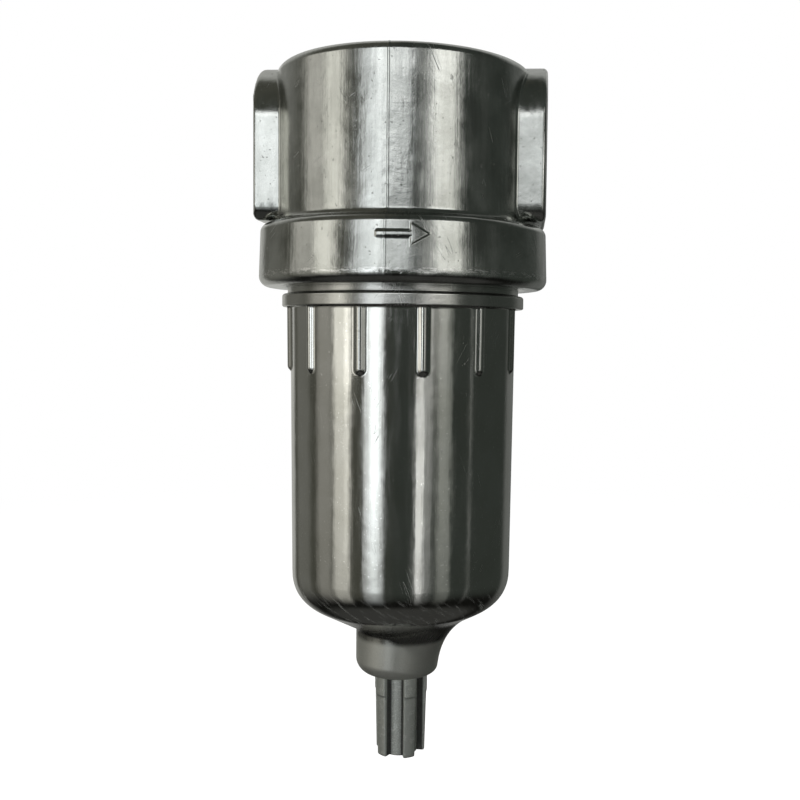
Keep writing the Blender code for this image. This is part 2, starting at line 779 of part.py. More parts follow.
def make_drain_seals(parent):
    """The pieces that follow the knob down without caring whether they turn with it."""
    ring_r = (SHANK_R + KNOB_RING_GROOVE_R) / 2
    finish(o_ring("knob_o_ring", ring_r, KNOB_RING_CORD, KNOB_RING_Z, SMALL), RUBBER, parent)
    tip_z = NEEDLE_TOP + GAP
    tip = turned(
        "valve_tip",
        [
            (0.0, SHANK_END_Z + 1.0),
            (SEAT_BORE_R - 0.4, SHANK_END_Z + 1.0),
            (SEAT_MOUTH_R - 0.5, SHANK_END_Z - 0.2),
            (SEAT_MOUTH_R + 0.3, SHANK_END_Z - 0.4),
            (SEAT_MOUTH_R + 0.3, tip_z),
            (0.0, tip_z),
        ],
        SMALL,
    )
    finish(tip, RUBBER, parent)


def make_filter():
    bowl_drop = axis_empty("bowl_drop_axis", LAND_TOP)
    bowl_turn = axis_empty("bowl_turn_axis", LAND_TOP, bowl_drop)
    drain_drop = axis_empty("drain_drop_axis", BOSS_Z, bowl_turn)
    drain_turn = axis_empty("drain_turn_axis", BOSS_Z, drain_drop)
    make_head()
    make_element_stack()
    make_baffle()
    make_stud_hardware()
    seal_r = (GROOVE_R + LAND_BORE_R) / 2
    seal_cord = (LAND_BORE_R - GROOVE_R) / 2 - 0.25
    seal_z = (GROOVE_Z + GROOVE_TOP) / 2
    finish(o_ring("bowl_seal", seal_r, seal_cord, seal_z), RUBBER, bowl_drop)
    make_bowl(bowl_turn)
    make_drain_body(bowl_turn)
    make_drain_seals(drain_drop)
    make_drain_knob(drain_turn)


make_filter()
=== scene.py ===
"""The looks of the compressed air filter: finely rounded castings, metal finishes, studio and camera.

The castings are described as distance fields, in millimetres: negative inside the metal, zero on its skin.
skin_mesh() turns a field into a mesh on a grid that runs round the filter's axis, so that turned faces get
rings and columns of even quads, and shades it with the field's own gradient.
"""

import math

import bmesh
import bpy
import numpy as np
from mathutils import Matrix, Vector


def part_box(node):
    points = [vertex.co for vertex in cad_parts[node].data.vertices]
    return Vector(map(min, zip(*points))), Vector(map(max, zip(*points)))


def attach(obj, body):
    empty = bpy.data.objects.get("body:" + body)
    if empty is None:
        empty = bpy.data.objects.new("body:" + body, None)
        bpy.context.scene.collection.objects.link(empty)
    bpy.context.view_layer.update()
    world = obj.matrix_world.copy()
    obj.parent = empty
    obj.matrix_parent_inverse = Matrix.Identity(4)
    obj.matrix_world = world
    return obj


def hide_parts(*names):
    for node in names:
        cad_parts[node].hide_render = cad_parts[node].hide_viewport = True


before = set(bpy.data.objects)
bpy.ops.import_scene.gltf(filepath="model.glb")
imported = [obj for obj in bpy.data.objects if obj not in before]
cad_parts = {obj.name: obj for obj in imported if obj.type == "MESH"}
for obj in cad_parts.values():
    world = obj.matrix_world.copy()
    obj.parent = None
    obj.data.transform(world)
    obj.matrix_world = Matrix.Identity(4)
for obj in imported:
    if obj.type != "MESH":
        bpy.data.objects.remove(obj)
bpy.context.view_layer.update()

MM = 0.001
GRID_COARSE = 1.0


def box_mm(node):
    """The low and high corners of a node's box, in millimetres."""
    low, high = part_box(node)
    return np.round(np.array(low) / MM, 4), np.round(np.array(high) / MM, 4)


HEAD_LOW, HEAD_HIGH = box_mm("head")
BOWL_LOW, BOWL_HIGH = box_mm("bowl")
KNOB_HIGH = box_mm("drain_knob")[1]
SEAL_LOW, SEAL_HIGH = box_mm("bowl_seal")
BODY_LOW, BODY_HIGH = box_mm("drain_body")

# Head
CROWN_Z = HEAD_HIGH[2]
HEAD_TOP = CROWN_Z - 1.2
FLANGE_Z = HEAD_LOW[2]
FLANGE_R = HEAD_HIGH[1]
PORT_FACE_X = FLANGE_R - 0.8
FLANGE_DRAFT = 0.035
SHOULDER_Z = FLANGE_Z + 16.9
DRUM_R = FLANGE_R - 4.9
CAVITY_R = 29.6
CAVITY_TOP = CROWN_Z - 27.0
SPOUT_R = 12.0
SPOUT_Z = FLANGE_Z + 20.7
SPOUT_BORE_R = 7.0
BRIDGE_Z = SPOUT_Z + 4.1
BRIDGE_HALF = 3.0
BRIDGE_WIDTH = 5.0
BRIDGE_HUB_R = 4.6
STUD_HOLE_R = 2.8
PORT_BOSS_R = 16.0
PORT_BOSS_Z = SHOULDER_Z + 0.8
PORT_Z = CROWN_Z - PORT_BOSS_R
PORT_CORNER = 4.0
PASSAGE_R = 7.2
PIPE_PITCH = 25.4 / 18
PIPE_DEPTH = 13.0
PIPE_R = 8.35
PIPE_TAPER = 0.03
PIPE_GROOVE = 0.75
PIPE_MOUTH_R = 9.5
INLET_END_X = -13.3
INLET_DROP_X = -20.5
INLET_DROP_R = 6.8
ARROW_TURN = math.radians(-83.5)
ARROW_Z = FLANGE_Z + 11.8
ARROW_PROUD = 0.28

# Bowl and its thread
COLLAR_R = BOWL_HIGH[1]
BOSS_Z = BOWL_LOW[2]
NECK_TOP = BOWL_HIGH[2]
BOWL_R = COLLAR_R - 2.25
BOWL_LOW_R = COLLAR_R - 2.9
WALL = 3.2
BOWL_IN_R = BOWL_LOW_R - WALL
LAND_R = COLLAR_R - 1.5
LAND_TOP = NECK_TOP - 10.8
GROOVE_R = LAND_R - 1.9
GROOVE_Z = LAND_TOP - 4.2
GROOVE_TOP = LAND_TOP - 1.6
COLLAR_TOP = NECK_TOP - 17.8
COLLAR_Z = COLLAR_TOP - 3.5
NECK_R = COLLAR_R - 3.6
THREAD_PITCH = 3.0
THREAD_DEPTH = 1.2
THREAD_START_Z = LAND_TOP + 1.4
THREAD_OFFSET = math.radians(4.5)
THREAD_LOW = LAND_TOP + 0.8
THREAD_HIGH = NECK_TOP - 1.0
WALL_END_Z = BOSS_Z + 25.5
KNUCKLE_R = 4.5
DOME_SLOPE = math.radians(28.0)
BOSS_R = 12.7
BOSS_LEAN = 2.3
BOSS_LEAN_SLOPE = 0.16
FLOOR_Z = BOSS_Z + 3.5
WELL_R = 9.5
WELL_TOP = WALL_END_Z - 3.0
BODY_HOLE_R = 5.3
RIB_COUNT = 12
RIB_FIRST = math.radians(16.3)
RIB_END_Z = COLLAR_Z - 17.5
RIB_R = 1.35
RIB_PROUD = 0.95

# Bowl seal
SEAL_Z = (SEAL_LOW[2] + SEAL_HIGH[2]) / 2
SEAL_CORD = (SEAL_HIGH[2] - SEAL_LOW[2]) / 2
SEAL_R = SEAL_HIGH[0] - SEAL_CORD

# Drain body
SHANK_Z = BODY_LOW[2]
BODY_TOP = BODY_HIGH[2]
HEX_Z = BODY_TOP - 3.5
HEX_FLATS = 15.0
SHANK_R = 3.0
SHANK_PITCH = 1.5
SEAT_BORE_R = 1.5
CLIP_GROOVE_R = 2.6
CLIP_GROOVE_Z = SHANK_Z + 1.2
CLIP_GROOVE_TOP = CLIP_GROOVE_Z + 1.2

# Drain knob
KNOB_TOP = KNOB_HIGH[2]
KNOB_R = KNOB_HIGH[0] - 0.05
KNOB_STEP = 0.2
KNOB_LOW_R = 7.1
KNOB_STEP_Z = KNOB_TOP - 5.7
FLUTE_COUNT = 5
FLUTE_FLOOR_R = 5.0
FLUTE_HALF = math.radians(21.0)
FLUTE_FIRST = math.radians(-96.0)
KNOB_BORE_R = 3.3
KNOB_CHAMBER_R = 4.1
KNOB_CHAMBER_Z = 5.0
KNOB_CHAMBER_TOP = KNOB_TOP - 9.3
KNOB_GROOVE_R = 4.45
KNOB_GROOVE_Z = KNOB_TOP - 3.8
KNOB_GROOVE_HALF = 0.8
NEEDLE_HOLE_R = 1.5
OUTLET_COUNT = 3
OUTLET_R = 0.85
OUTLET_RING_R = 2.9


def smooth_min(a, b, blend):
    """The union of two fields, with a fillet where they meet."""
    share = np.clip(0.5 + 0.5 * (b - a) / blend, 0, 1)
    return b + (a - b) * share - blend * share * (1 - share)


def smooth_max(a, b, blend):
    """The overlap of two fields, with the new edge rounded over."""
    return -smooth_min(-a, -b, blend)


def smooth_step(value, low, high):
    """0 below low, 1 above high, and an even curve between them."""
    share = np.clip((value - low) / (high - low), 0, 1)
    return share * share * (3 - 2 * share)


def mix(a, b, share):
    return a + (b - a) * share


def rounded_box(u, v, half_u, half_v, corner):
    """Distance to a flat box centred on zero, with rounded corners."""
    out_u = np.abs(u) - half_u + corner
    out_v = np.abs(v) - half_v + corner
    outside = np.hypot(np.maximum(out_u, 0), np.maximum(out_v, 0))
    return np.minimum(np.maximum(out_u, out_v), 0) + outside - corner


def disc(rho, z, radius, low, high, low_edge, high_edge):
    """A turned disc with its own edge rounding below and above."""
    middle = (low + high) / 2
    edge = np.where(z > middle, high_edge, low_edge)
    return rounded_box(rho, z - middle, radius, (high - low) / 2, edge)


def spread(start, *stretches):
    """Grid values from a start through (end, step) stretches that follow one another."""
    values = []
    for end, step in stretches:
        count = max(1, round((end - start) / (step * GRID_COARSE)))
        values.extend(start + (end - start) * i / count for i in range(count))
        start = end
    values.append(start)
    return np.array(values)


def all_round(step):
    """Evenly spaced columns all the way round, with the step in degrees."""
    return np.radians(spread(-180, (180, step))[:-1])


def gradient(field, points, reach=0.02):
    """The field's slope at each point, by central differences."""
    slopes = []
    for axis in range(3):
        shift = np.zeros(3)
        shift[axis] = reach
        ahead = field(*(points + shift).T)
        behind = field(*(points - shift).T)
        slopes.append((ahead - behind) / (2 * reach))
    return np.stack(slopes, axis=1)


def cell_corners(values, cells):
    """The field at the eight corners of each cell, as an array with axes cell, turn, out and up."""
    i, j, k = cells.T
    turns = values.shape[0]
    corners = np.empty((len(cells), 2, 2, 2))
    for a in (0, 1):
        for b in (0, 1):
            for c in (0, 1):
                corners[:, a, b, c] = values[(i + a) % turns, j + b, k + c]
    return corners


def crossing_centres(corners):
    """The mean point, in cell units, where the field crosses zero on a cell's edges."""
    total = np.zeros((len(corners), 3))
    count = np.zeros(len(corners))
    for axis in range(3):
        others = [a for a in range(3) if a != axis]
        moved = np.moveaxis(corners, axis + 1, 1)
        for b in (0, 1):
            for c in (0, 1):
                start = moved[:, 0, b, c]
                end = moved[:, 1, b, c]
                crosses = (start < 0) != (end < 0)
                share = np.where(crosses, start / np.where(crosses, start - end, 1), 0)
                total[:, axis] += share * crosses
                total[:, others[0]] += b * crosses
                total[:, others[1]] += c * crosses
                count += crosses
    return total / count[:, None]


def quads_between(values, cell_index, axis):
    """A quad through the four cells round each grid edge that the skin crosses."""
    turns = values.shape[0]
    if axis == 0:
        start, end = values, np.roll(values, -1, axis=0)
        around = [(0, -1, -1), (0, 0, -1), (0, 0, 0), (0, -1, 0)]
    elif axis == 1:
        start, end = values[:, :-1], values[:, 1:]
        around = [(-1, 0, -1), (-1, 0, 0), (0, 0, 0), (0, 0, -1)]
    else:
        start, end = values[:, :, :-1], values[:, :, 1:]
        around = [(-1, -1, 0), (0, -1, 0), (0, 0, 0), (-1, 0, 0)]
    edges = np.argwhere((start < 0) != (end < 0))
    leaves = start[tuple(edges.T)] < 0
    quads = np.empty((len(edges), 4), int)
    whole = np.ones(len(edges), bool)
    for corner, shift in enumerate(around):
        i, j, k = (edges + shift).T
        inside = (j >= 0) & (j < cell_index.shape[1]) & (k >= 0) & (k < cell_index.shape[2])
        found = cell_index[i % turns, np.where(inside, j, 0), np.where(inside, k, 0)]
        quads[:, corner] = found
        whole &= inside & (found >= 0)
    quads[~leaves] = quads[~leaves][:, ::-1]
    return quads[whole]


def skin_mesh(name, field, turn, out, up):
    """Mesh the zero surface of a field on a grid of turn angles (radians), radii and heights."""
    angle, rho, z = np.meshgrid(turn, out, up, indexing="ij")
    values = field(rho * np.cos(angle), rho * np.sin(angle), z)
    below = values < 0
    mixed = np.zeros((len(turn), len(out) - 1, len(up) - 1), bool)
    first = below[:, :-1, :-1]
    for a in (0, 1):
        rolled = np.roll(below, -a, axis=0)
        for b in (0, 1):
            for c in (0, 1):
                mixed |= rolled[:, b : b + mixed.shape[1], c : c + mixed.shape[2]] != first
    cells = np.argwhere(mixed)
    cell_index = np.full(mixed.shape, -1)
    cell_index[mixed] = np.arange(len(cells))
    place = crossing_centres(cell_corners(values, cells))
    steps = np.diff(np.append(turn, turn[0] + math.tau))
    i, j, k = cells.T
    angle = turn[i] + place[:, 0] * steps[i]
    rho = out[j] + place[:, 1] * np.diff(out)[j]
    z = up[k] + place[:, 2] * np.diff(up)[k]
    points = np.stack([rho * np.cos(angle), rho * np.sin(angle), z], axis=1)
    for _ in range(4):
        slope = gradient(field, points)
        steep = np.maximum((slope**2).sum(axis=1), 0.1)
        move = slope * (field(*points.T) / steep)[:, None]
        length = np.linalg.norm(move, axis=1)
        points -= move * np.minimum(1, 0.3 / np.maximum(length, 1e-9))[:, None]
    quads = np.concatenate([quads_between(values, cell_index, axis) for axis in range(3)])
    mesh = bpy.data.meshes.new(name)
    mesh.from_pydata((points * MM).tolist(), [], quads.tolist())
    work = bmesh.new()
    work.from_mesh(mesh)
    bmesh.ops.holes_fill(work, edges=work.edges)
    bmesh.ops.recalc_face_normals(work, faces=work.faces)
    work.to_mesh(mesh)
    work.free()
    mesh.shade_smooth()
    normals = gradient(field, points)
    normals /= np.maximum(np.linalg.norm(normals, axis=1), 1e-9)[:, None]
    mesh.normals_split_custom_set_from_vertices(normals.tolist())
    made = bpy.data.objects.new(name, mesh)
    bpy.context.scene.collection.objects.link(made)
    return made


def helix_height(x, y, z, pitch, start_z):
    """Where a point lies between one ridge of a right-hand helix and the next, from 0 to 1."""
    turns = (np.arctan2(y, x) - THREAD_OFFSET) / math.tau
    return (z - start_z) / pitch - turns


def ridge_shape(phase, root_half, crest_half):
    """1 on the crest of a ridge at phase 0, 0 between ridges, with straight flanks."""
    away = np.abs(phase - np.round(phase))
    return 1 - np.clip((away - crest_half) / (root_half - crest_half), 0, 1)


def bowl_thread(x, y, z, shift):
    """The bowl thread's ridge height, from 0 to 1, fading out where the thread ends."""
    ridge = ridge_shape(helix_height(x, y, z, THREAD_PITCH, THREAD_START_Z) - shift, 0.3, 0.067)
    ends = smooth_step(z, THREAD_LOW - 0.4, THREAD_LOW + 0.6) * (
        1 - smooth_step(z, THREAD_HIGH - 0.4, THREAD_HIGH + 0.6)
    )
    return ridge * ends


def port_boss_field(x, y, z):
    """An arch-topped block through the head, its port faces square to X."""
    low = PORT_BOSS_Z
    high = PORT_Z + PORT_BOSS_R
    corner = np.where(z > (low + high) / 2, PORT_BOSS_R - 0.01, PORT_CORNER)
    outline = rounded_box(y, z - (low + high) / 2, PORT_BOSS_R, (high - low) / 2, corner)
    edge = 1.3
    across = outline + edge
    along = np.abs(x) - PORT_FACE_X + edge
    outside = np.hypot(np.maximum(across, 0), np.maximum(along, 0))
    return np.minimum(np.maximum(across, along), 0) + outside - edge


def arrow_field(u, v):
    """A flow arrow on the flat, pointing along u: a bar and a triangular tip."""
    bar = rounded_box(u + 2.2, v, 4.6, 0.75, 0.3)
    tip = np.maximum(1.8 - u, (u - 1.8) * 0.5 + np.abs(v) * 0.866 - 2.3)
    return np.minimum(bar, tip)


def flow_arrow(x, y, z):
    """How far the flow arrow cast on the front of the flange stands proud."""
    turn = np.arctan2(y, x) - ARROW_TURN
    flat = arrow_field(turn * FLANGE_R, z - ARROW_Z)
    near = (y < 0) & (np.abs(turn) < 0.4)
    return np.where(near, ARROW_PROUD * (1 - smooth_step(flat, -0.35, 0.35)), 0)


def parting_ridge(x, y, z):
    """The thin flash line where the two halves of the casting die met, front and back."""
    return 0.09 * np.exp(-((x / 0.22) ** 2)) * (np.abs(y) > 20)


def port_thread_radius(x, y, z):
    """The tapered, threaded wall of a port, as a radius round the port's own axis."""
    depth = PORT_FACE_X - np.abs(x)
    side = np.sign(x)
    turns = np.arctan2(z - PORT_Z, y * side) / math.tau
    phase = depth / PIPE_PITCH + turns
    away = np.abs(phase - np.round(phase)) * 2
    fade = 1 - smooth_step(depth, PIPE_DEPTH - 2.5, PIPE_DEPTH)
    tapered = PIPE_R - PIPE_TAPER * depth + PIPE_GROOVE * away * fade
    mouth = PIPE_MOUTH_R - (depth - 0.2) * 0.9
    return np.maximum(np.maximum(tapered, mouth), PASSAGE_R)


def port_field(x, y, z):
    """The empty space of both ports and the passages behind them."""
    rho = np.hypot(y, z - PORT_Z)
    depth = PORT_FACE_X - np.abs(x)
    radius = np.where(depth < PIPE_DEPTH, port_thread_radius(x, y, z), PASSAGE_R)
    inner_end = np.where(x > 0, -x, x - INLET_END_X)
    ports = np.maximum(rho - radius, inner_end)
    inlet_drop = np.maximum(z - PORT_Z, CAVITY_TOP - 1 - z)
    inlet_drop = np.maximum(np.hypot(x - INLET_DROP_X, y) - INLET_DROP_R, inlet_drop)
    spout_bore = np.maximum(np.hypot(x, y) - SPOUT_BORE_R, np.maximum(z - PORT_Z, SPOUT_Z - 1 - z))
    return np.minimum(np.minimum(ports, inlet_drop), spout_bore)


def bridge_field(x, y, z):
    """The bar across the outlet spout, with the hub that holds the stud."""
    rho = np.hypot(x, y)
    bar = np.maximum(np.abs(x) - BRIDGE_WIDTH / 2, rho - SPOUT_BORE_R - 1.0)
    solid = np.maximum(np.minimum(bar, rho - BRIDGE_HUB_R), np.abs(z - BRIDGE_Z) - BRIDGE_HALF)
    return np.maximum(solid, STUD_HOLE_R - rho)


def head_cavity_field(x, y, z):
    """The stepped and threaded space inside the head, round the outlet spout."""
    rho = np.hypot(x, y)
    thread_top = THREAD_START_Z + 3.25 * THREAD_PITCH + 1.2
    seal_r = LAND_R + 0.5
    bore = mix(seal_r, NECK_R + 1.6, smooth_step(z, LAND_TOP + 0.3, LAND_TOP + 1.3))
    bore = mix(bore, CAVITY_R, smooth_step(z, thread_top, thread_top + 1.5))
    bore = bore - THREAD_DEPTH * bowl_thread(x, y, z - 1.5, 0.0)
    bore = bore + 1.2 * (1 - smooth_step(z, FLANGE_Z - 0.6, FLANGE_Z + 0.8))
    space = np.maximum(rho - bore, z - CAVITY_TOP)
    spout = np.maximum(rho - SPOUT_R, SPOUT_Z - z)
    return smooth_max(space, -spout, 0.5)


def head_field(x, y, z):
    """The head casting: drum, flange and port block in one, with everything hollow cut out."""
    rho = np.hypot(x, y)
    drum = disc(rho, z, DRUM_R, SHOULDER_Z - 8, HEAD_TOP, 1.0, 2.3)
    flange_r = FLANGE_R - FLANGE_DRAFT * (z - FLANGE_Z)
    flange = disc(rho, z, flange_r, FLANGE_Z, SHOULDER_Z, 3.0, 2.0)
    body = smooth_min(drum, flange, 2.0)
    body = smooth_min(body, port_boss_field(x, y, z), 0.5)
    body = body - parting_ridge(x, y, z) - flow_arrow(x, y, z)
    body = smooth_max(body, z - CROWN_Z, 0.2)
    body = smooth_max(body, -head_cavity_field(x, y, z), 0.5)
    body = smooth_max(body, -port_field(x, y, z), 0.5)
    return smooth_min(body, bridge_field(x, y, z), 0.4)


def head_turns():
    """Columns round the head: fine at the ports and on the front, coarse between them."""
    left_port = [(-154, 1.0)]
    front = [(-100, 2.2), (-94, 1.0), (-73, 0.38), (-26, 1.8)]
    right_port = [(26, 1.0)]
    back = [(88, 2.2), (92, 0.5), (154, 2.2)]
    marks = left_port + front + right_port + back + [(180, 1.0)]
    return np.radians(spread(-180, *marks)[:-1])


def make_head():
    out = spread(0.9, (SPOUT_BORE_R - 1.0, 0.8), (CAVITY_R - 1.6, 1.3), (FLANGE_R + 1.5, 0.66))
    up = spread(
        FLANGE_Z - 1.2,
        (THREAD_LOW + 2.3, 0.54),
        (THREAD_HIGH + 0.3, 0.38),
        (SPOUT_Z - 0.9, 0.5),
        (CAVITY_TOP - 0.5, 1.0),
        (CROWN_Z + 0.9, 0.68),
    )
    return skin_mesh("head_casting", head_field, head_turns(), out, up)


def bowl_radius(z):
    """The bowl's outside radius, which drafts inwards down to where the wall ends."""
    share = (z - WALL_END_Z) / (COLLAR_Z - WALL_END_Z)
    return BOWL_LOW_R + (BOWL_R - BOWL_LOW_R) * np.clip(share, -0.2, 1)


def dome_field(rho, z, deeper=0.0):
    """Distance below the cone that closes the bowl, or below one that lies deeper inside the wall."""
    end_r = BOWL_LOW_R - KNUCKLE_R + KNUCKLE_R * math.sin(DOME_SLOPE)
    end_z = WALL_END_Z - KNUCKLE_R * math.cos(DOME_SLOPE)
    return (rho - end_r) * math.sin(DOME_SLOPE) - (z - end_z) * math.cos(DOME_SLOPE) + deeper


def drain_boss_field(x, y, z):
    """The boss under the bowl: upright and round on one side, drafted and filleted on the other."""
    rho = np.hypot(x, y)
    lean = smooth_step(x / np.maximum(rho, 1), -0.3, 0.9)
    radius = BOSS_R - lean * (BOSS_LEAN - BOSS_LEAN_SLOPE * (z - BOSS_Z))
    return disc(rho, z, radius, BOSS_Z, BOSS_Z + 24, mix(4.2, 1.6, lean), 1.0), lean


def rib_field(x, y, z):
    """The grip ribs: half-round beads with rounded feet, running down from the collar."""
    pitch = math.tau / RIB_COUNT
    turn = np.arctan2(y, x) - RIB_FIRST
    turn = turn - pitch * np.round(turn / pitch)
    rho = np.hypot(x, y)
    centre_r = bowl_radius(z) + RIB_PROUD - RIB_R
    sideways = rho * np.sin(turn)
    outward = rho * np.cos(turn) - centre_r
    foot = np.minimum(z - (RIB_END_Z + RIB_R), 0)
    bead = np.sqrt(sideways**2 + outward**2 + foot**2) - RIB_R
    return np.maximum(bead, z - COLLAR_TOP + 1.0)


def bowl_field(x, y, z):
    """The whole bowl: wall, dome, boss, ribs, collar, seal land and threaded neck, hollow inside."""
    rho = np.hypot(x, y)
    body = smooth_max(rho - bowl_radius(z), dome_field(rho, z), 6.0)
    body = smooth_max(body, z - COLLAR_TOP + 1.0, 0.2)
    boss, lean = drain_boss_field(x, y, z)
    body = smooth_min(body, boss, mix(0.8, 8.0, lean))
    body = smooth_min(body, rib_field(x, y, z), 0.7)
    collar = disc(rho, z, COLLAR_R, COLLAR_Z, COLLAR_TOP, 0.35, 0.7)
    body = smooth_min(body, collar, 0.5)
    land = disc(rho, z, LAND_R, COLLAR_TOP - 3, LAND_TOP, 0.3, 0.5)
    groove = np.maximum(GROOVE_R - rho, np.maximum(GROOVE_Z - z, z - GROOVE_TOP))
    land = smooth_max(land, -groove, 0.3)
    neck_r = NECK_R + THREAD_DEPTH * bowl_thread(x, y, z, 0.0)
    neck = smooth_max(rho - neck_r, np.maximum(z - NECK_TOP, LAND_TOP - 2 - z), 0.6)
    body = smooth_min(body, smooth_min(land, neck, 0.4), 0.4)
    inside = smooth_max(rho - BOWL_IN_R, dome_field(rho, z, WALL), 1.5)
    well = np.maximum(rho - WELL_R, np.maximum(FLOOR_Z - z, z - WELL_TOP))
    hole = np.maximum(rho - BODY_HOLE_R, z - WELL_TOP)
    hollow = np.minimum(np.minimum(inside, well), hole)
    return smooth_max(body, -hollow, 0.5)


def bowl_turns():
    """Columns round the bowl: fine over each rib, coarse between ribs."""
    pitch = 360 / RIB_COUNT
    first = math.degrees(RIB_FIRST)
    marks = []
    for i in range(RIB_COUNT):
        rib = first + pitch * i
        marks.extend([(rib - 4.2, 2.7), (rib + 4.2, 0.65), (rib + pitch / 2, 2.7)])
    return np.radians(spread(first - pitch / 2, *marks)[:-1])


def make_bowl():
    out = spread(3.0, (BOSS_R + 1.3, 0.5), (BOWL_IN_R - 1.5, 1.0), (COLLAR_R + 0.8, 0.45))
    up = spread(
        BOSS_Z - 0.9,
        (FLOOR_Z + 2.0, 0.45),
        (WALL_END_Z + 3.0, 0.7),
        (RIB_END_Z - 2.4, 3.5),
        (RIB_END_Z + 2.6, 0.45),
        (COLLAR_Z - 1.9, 1.3),
        (NECK_TOP + 1.0, 0.45),
    )
    return skin_mesh("bowl_shell", bowl_field, bowl_turns(), out, up)


def knob_field(x, y, z):
    """The drain knob: five flutes outside, and inside a bore, an O-ring groove, a chamber and outlets."""
    rho = np.hypot(x, y)
    pitch = math.tau / FLUTE_COUNT
    turn = np.arctan2(y, x) - FLUTE_FIRST
    turn = turn - pitch * np.round(turn / pitch)
    radius = mix(KNOB_LOW_R, KNOB_R - 0.05 - KNOB_STEP, np.clip(z / KNOB_STEP_Z, 0, 1))
    radius = radius + KNOB_STEP * smooth_step(z, KNOB_STEP_Z - 0.15, KNOB_STEP_Z + 0.15)
    middle = KNOB_TOP / 2
    body = rounded_box(rho, z - middle, radius, middle, np.where(z > middle, 0.35, 0.55))
    flute = np.maximum(FLUTE_FLOOR_R - rho, (np.abs(turn) - FLUTE_HALF) * rho)
    body = smooth_max(body, -flute, 0.55)
    bore = np.maximum(rho - KNOB_BORE_R, KNOB_CHAMBER_TOP - z)
    ring_groove = np.maximum(rho - KNOB_GROOVE_R, np.abs(z - KNOB_GROOVE_Z) - KNOB_GROOVE_HALF)
    chamber = np.maximum(z - KNOB_CHAMBER_TOP, KNOB_CHAMBER_Z - z)
    chamber = np.maximum(rho - KNOB_CHAMBER_R, chamber)
    third = math.tau / OUTLET_COUNT
    outlet_turn = np.arctan2(y, x) - third / 2
    outlet_turn = outlet_turn - third * np.round(outlet_turn / third)
    outlet = np.hypot(rho * np.cos(outlet_turn) - OUTLET_RING_R, rho * np.sin(outlet_turn)) - OUTLET_R
    through_floor = np.maximum(np.minimum(outlet, rho - NEEDLE_HOLE_R), z - KNOB_CHAMBER_Z - 1.0)
    hollow = np.minimum(np.minimum(bore, ring_groove), np.minimum(chamber, through_floor))
    return smooth_max(body, -hollow, 0.3)


def make_knob():
    out = spread(0.8, (KNOB_R + 0.45, 0.25))
    up = spread(-0.7, (KNOB_TOP + 0.8, 0.35))
    return skin_mesh("drain_knob_casting", knob_field, all_round(1.5), out, up)


def drain_body_field(x, y, z):
    """A hex over the bowl's floor, and below the boss a threaded shank with a clip groove and a seat."""
    rho = np.hypot(x, y)
    turn = np.arctan2(y, x)
    sixth = math.tau / 6
    flat = rho * np.cos(turn - sixth / 2 - sixth * np.round((turn - sixth / 2) / sixth))
    hex_middle = (HEX_Z + BODY_TOP) / 2
    hexagon = np.maximum(flat - HEX_FLATS / 2, np.abs(z - hex_middle) - (BODY_TOP - HEX_Z) / 2)
    chamfer = rho - HEX_FLATS / 2 - 0.9 + (z - BODY_TOP + 0.5)
    hexagon = smooth_max(hexagon, chamfer, 0.3)
    neck = np.maximum(rho - BODY_HOLE_R + 0.3, np.maximum(z - BODY_TOP + 0.5, BOSS_Z + 0.1 - z))
    ridge = ridge_shape((z - SHANK_Z) / SHANK_PITCH - turn / math.tau, 0.5, 0.1)
    threaded = smooth_step(z, CLIP_GROOVE_TOP + 0.3, CLIP_GROOVE_TOP + 1.2)
    shank_r = SHANK_R - 0.35 * (1 - ridge) * threaded
    shank = np.maximum(rho - shank_r, np.maximum(z - BOSS_Z - 1, SHANK_Z - z))
    groove = np.maximum(CLIP_GROOVE_R - rho, np.maximum(CLIP_GROOVE_Z - z, z - CLIP_GROOVE_TOP))
    shank = smooth_max(shank, -groove, 0.2)
    body = np.minimum(smooth_min(hexagon, neck, 0.3), shank)
    seat_r = SEAT_BORE_R + 0.8 * smooth_step(SHANK_Z + 1.2 - z, 0.0, 1.2)
    return smooth_max(body, seat_r - rho, 0.2)


def make_drain_body():
    out = spread(0.9, (HEX_FLATS / 2 + 1.7, 0.22))
    up = spread(SHANK_Z - 0.55, (BOSS_Z + 0.52, 0.2), (BODY_TOP + 0.6, 0.3))
    return skin_mesh("drain_fitting", drain_body_field, all_round(3.0), out, up)


def bowl_seal_field(x, y, z):
    """An O-ring with a trace of the flash line that its mould leaves round the outside."""
    rho = np.hypot(x, y)
    ring = np.hypot(rho - SEAL_R, z - SEAL_Z) - SEAL_CORD
    flash = 0.05 * np.exp(-(((z - SEAL_Z) / 0.08) ** 2))
    return ring - np.where(rho > SEAL_R, flash, 0) + 0.05


def make_bowl_seal():
    out = spread(SEAL_R - 1.3, (SEAL_R + 1.3, 0.16))
    up = spread(SEAL_Z - 1.3, (SEAL_Z + 1.3, 0.16))
    return skin_mesh("bowl_o_ring", bowl_seal_field, all_round(2.5), out, up)


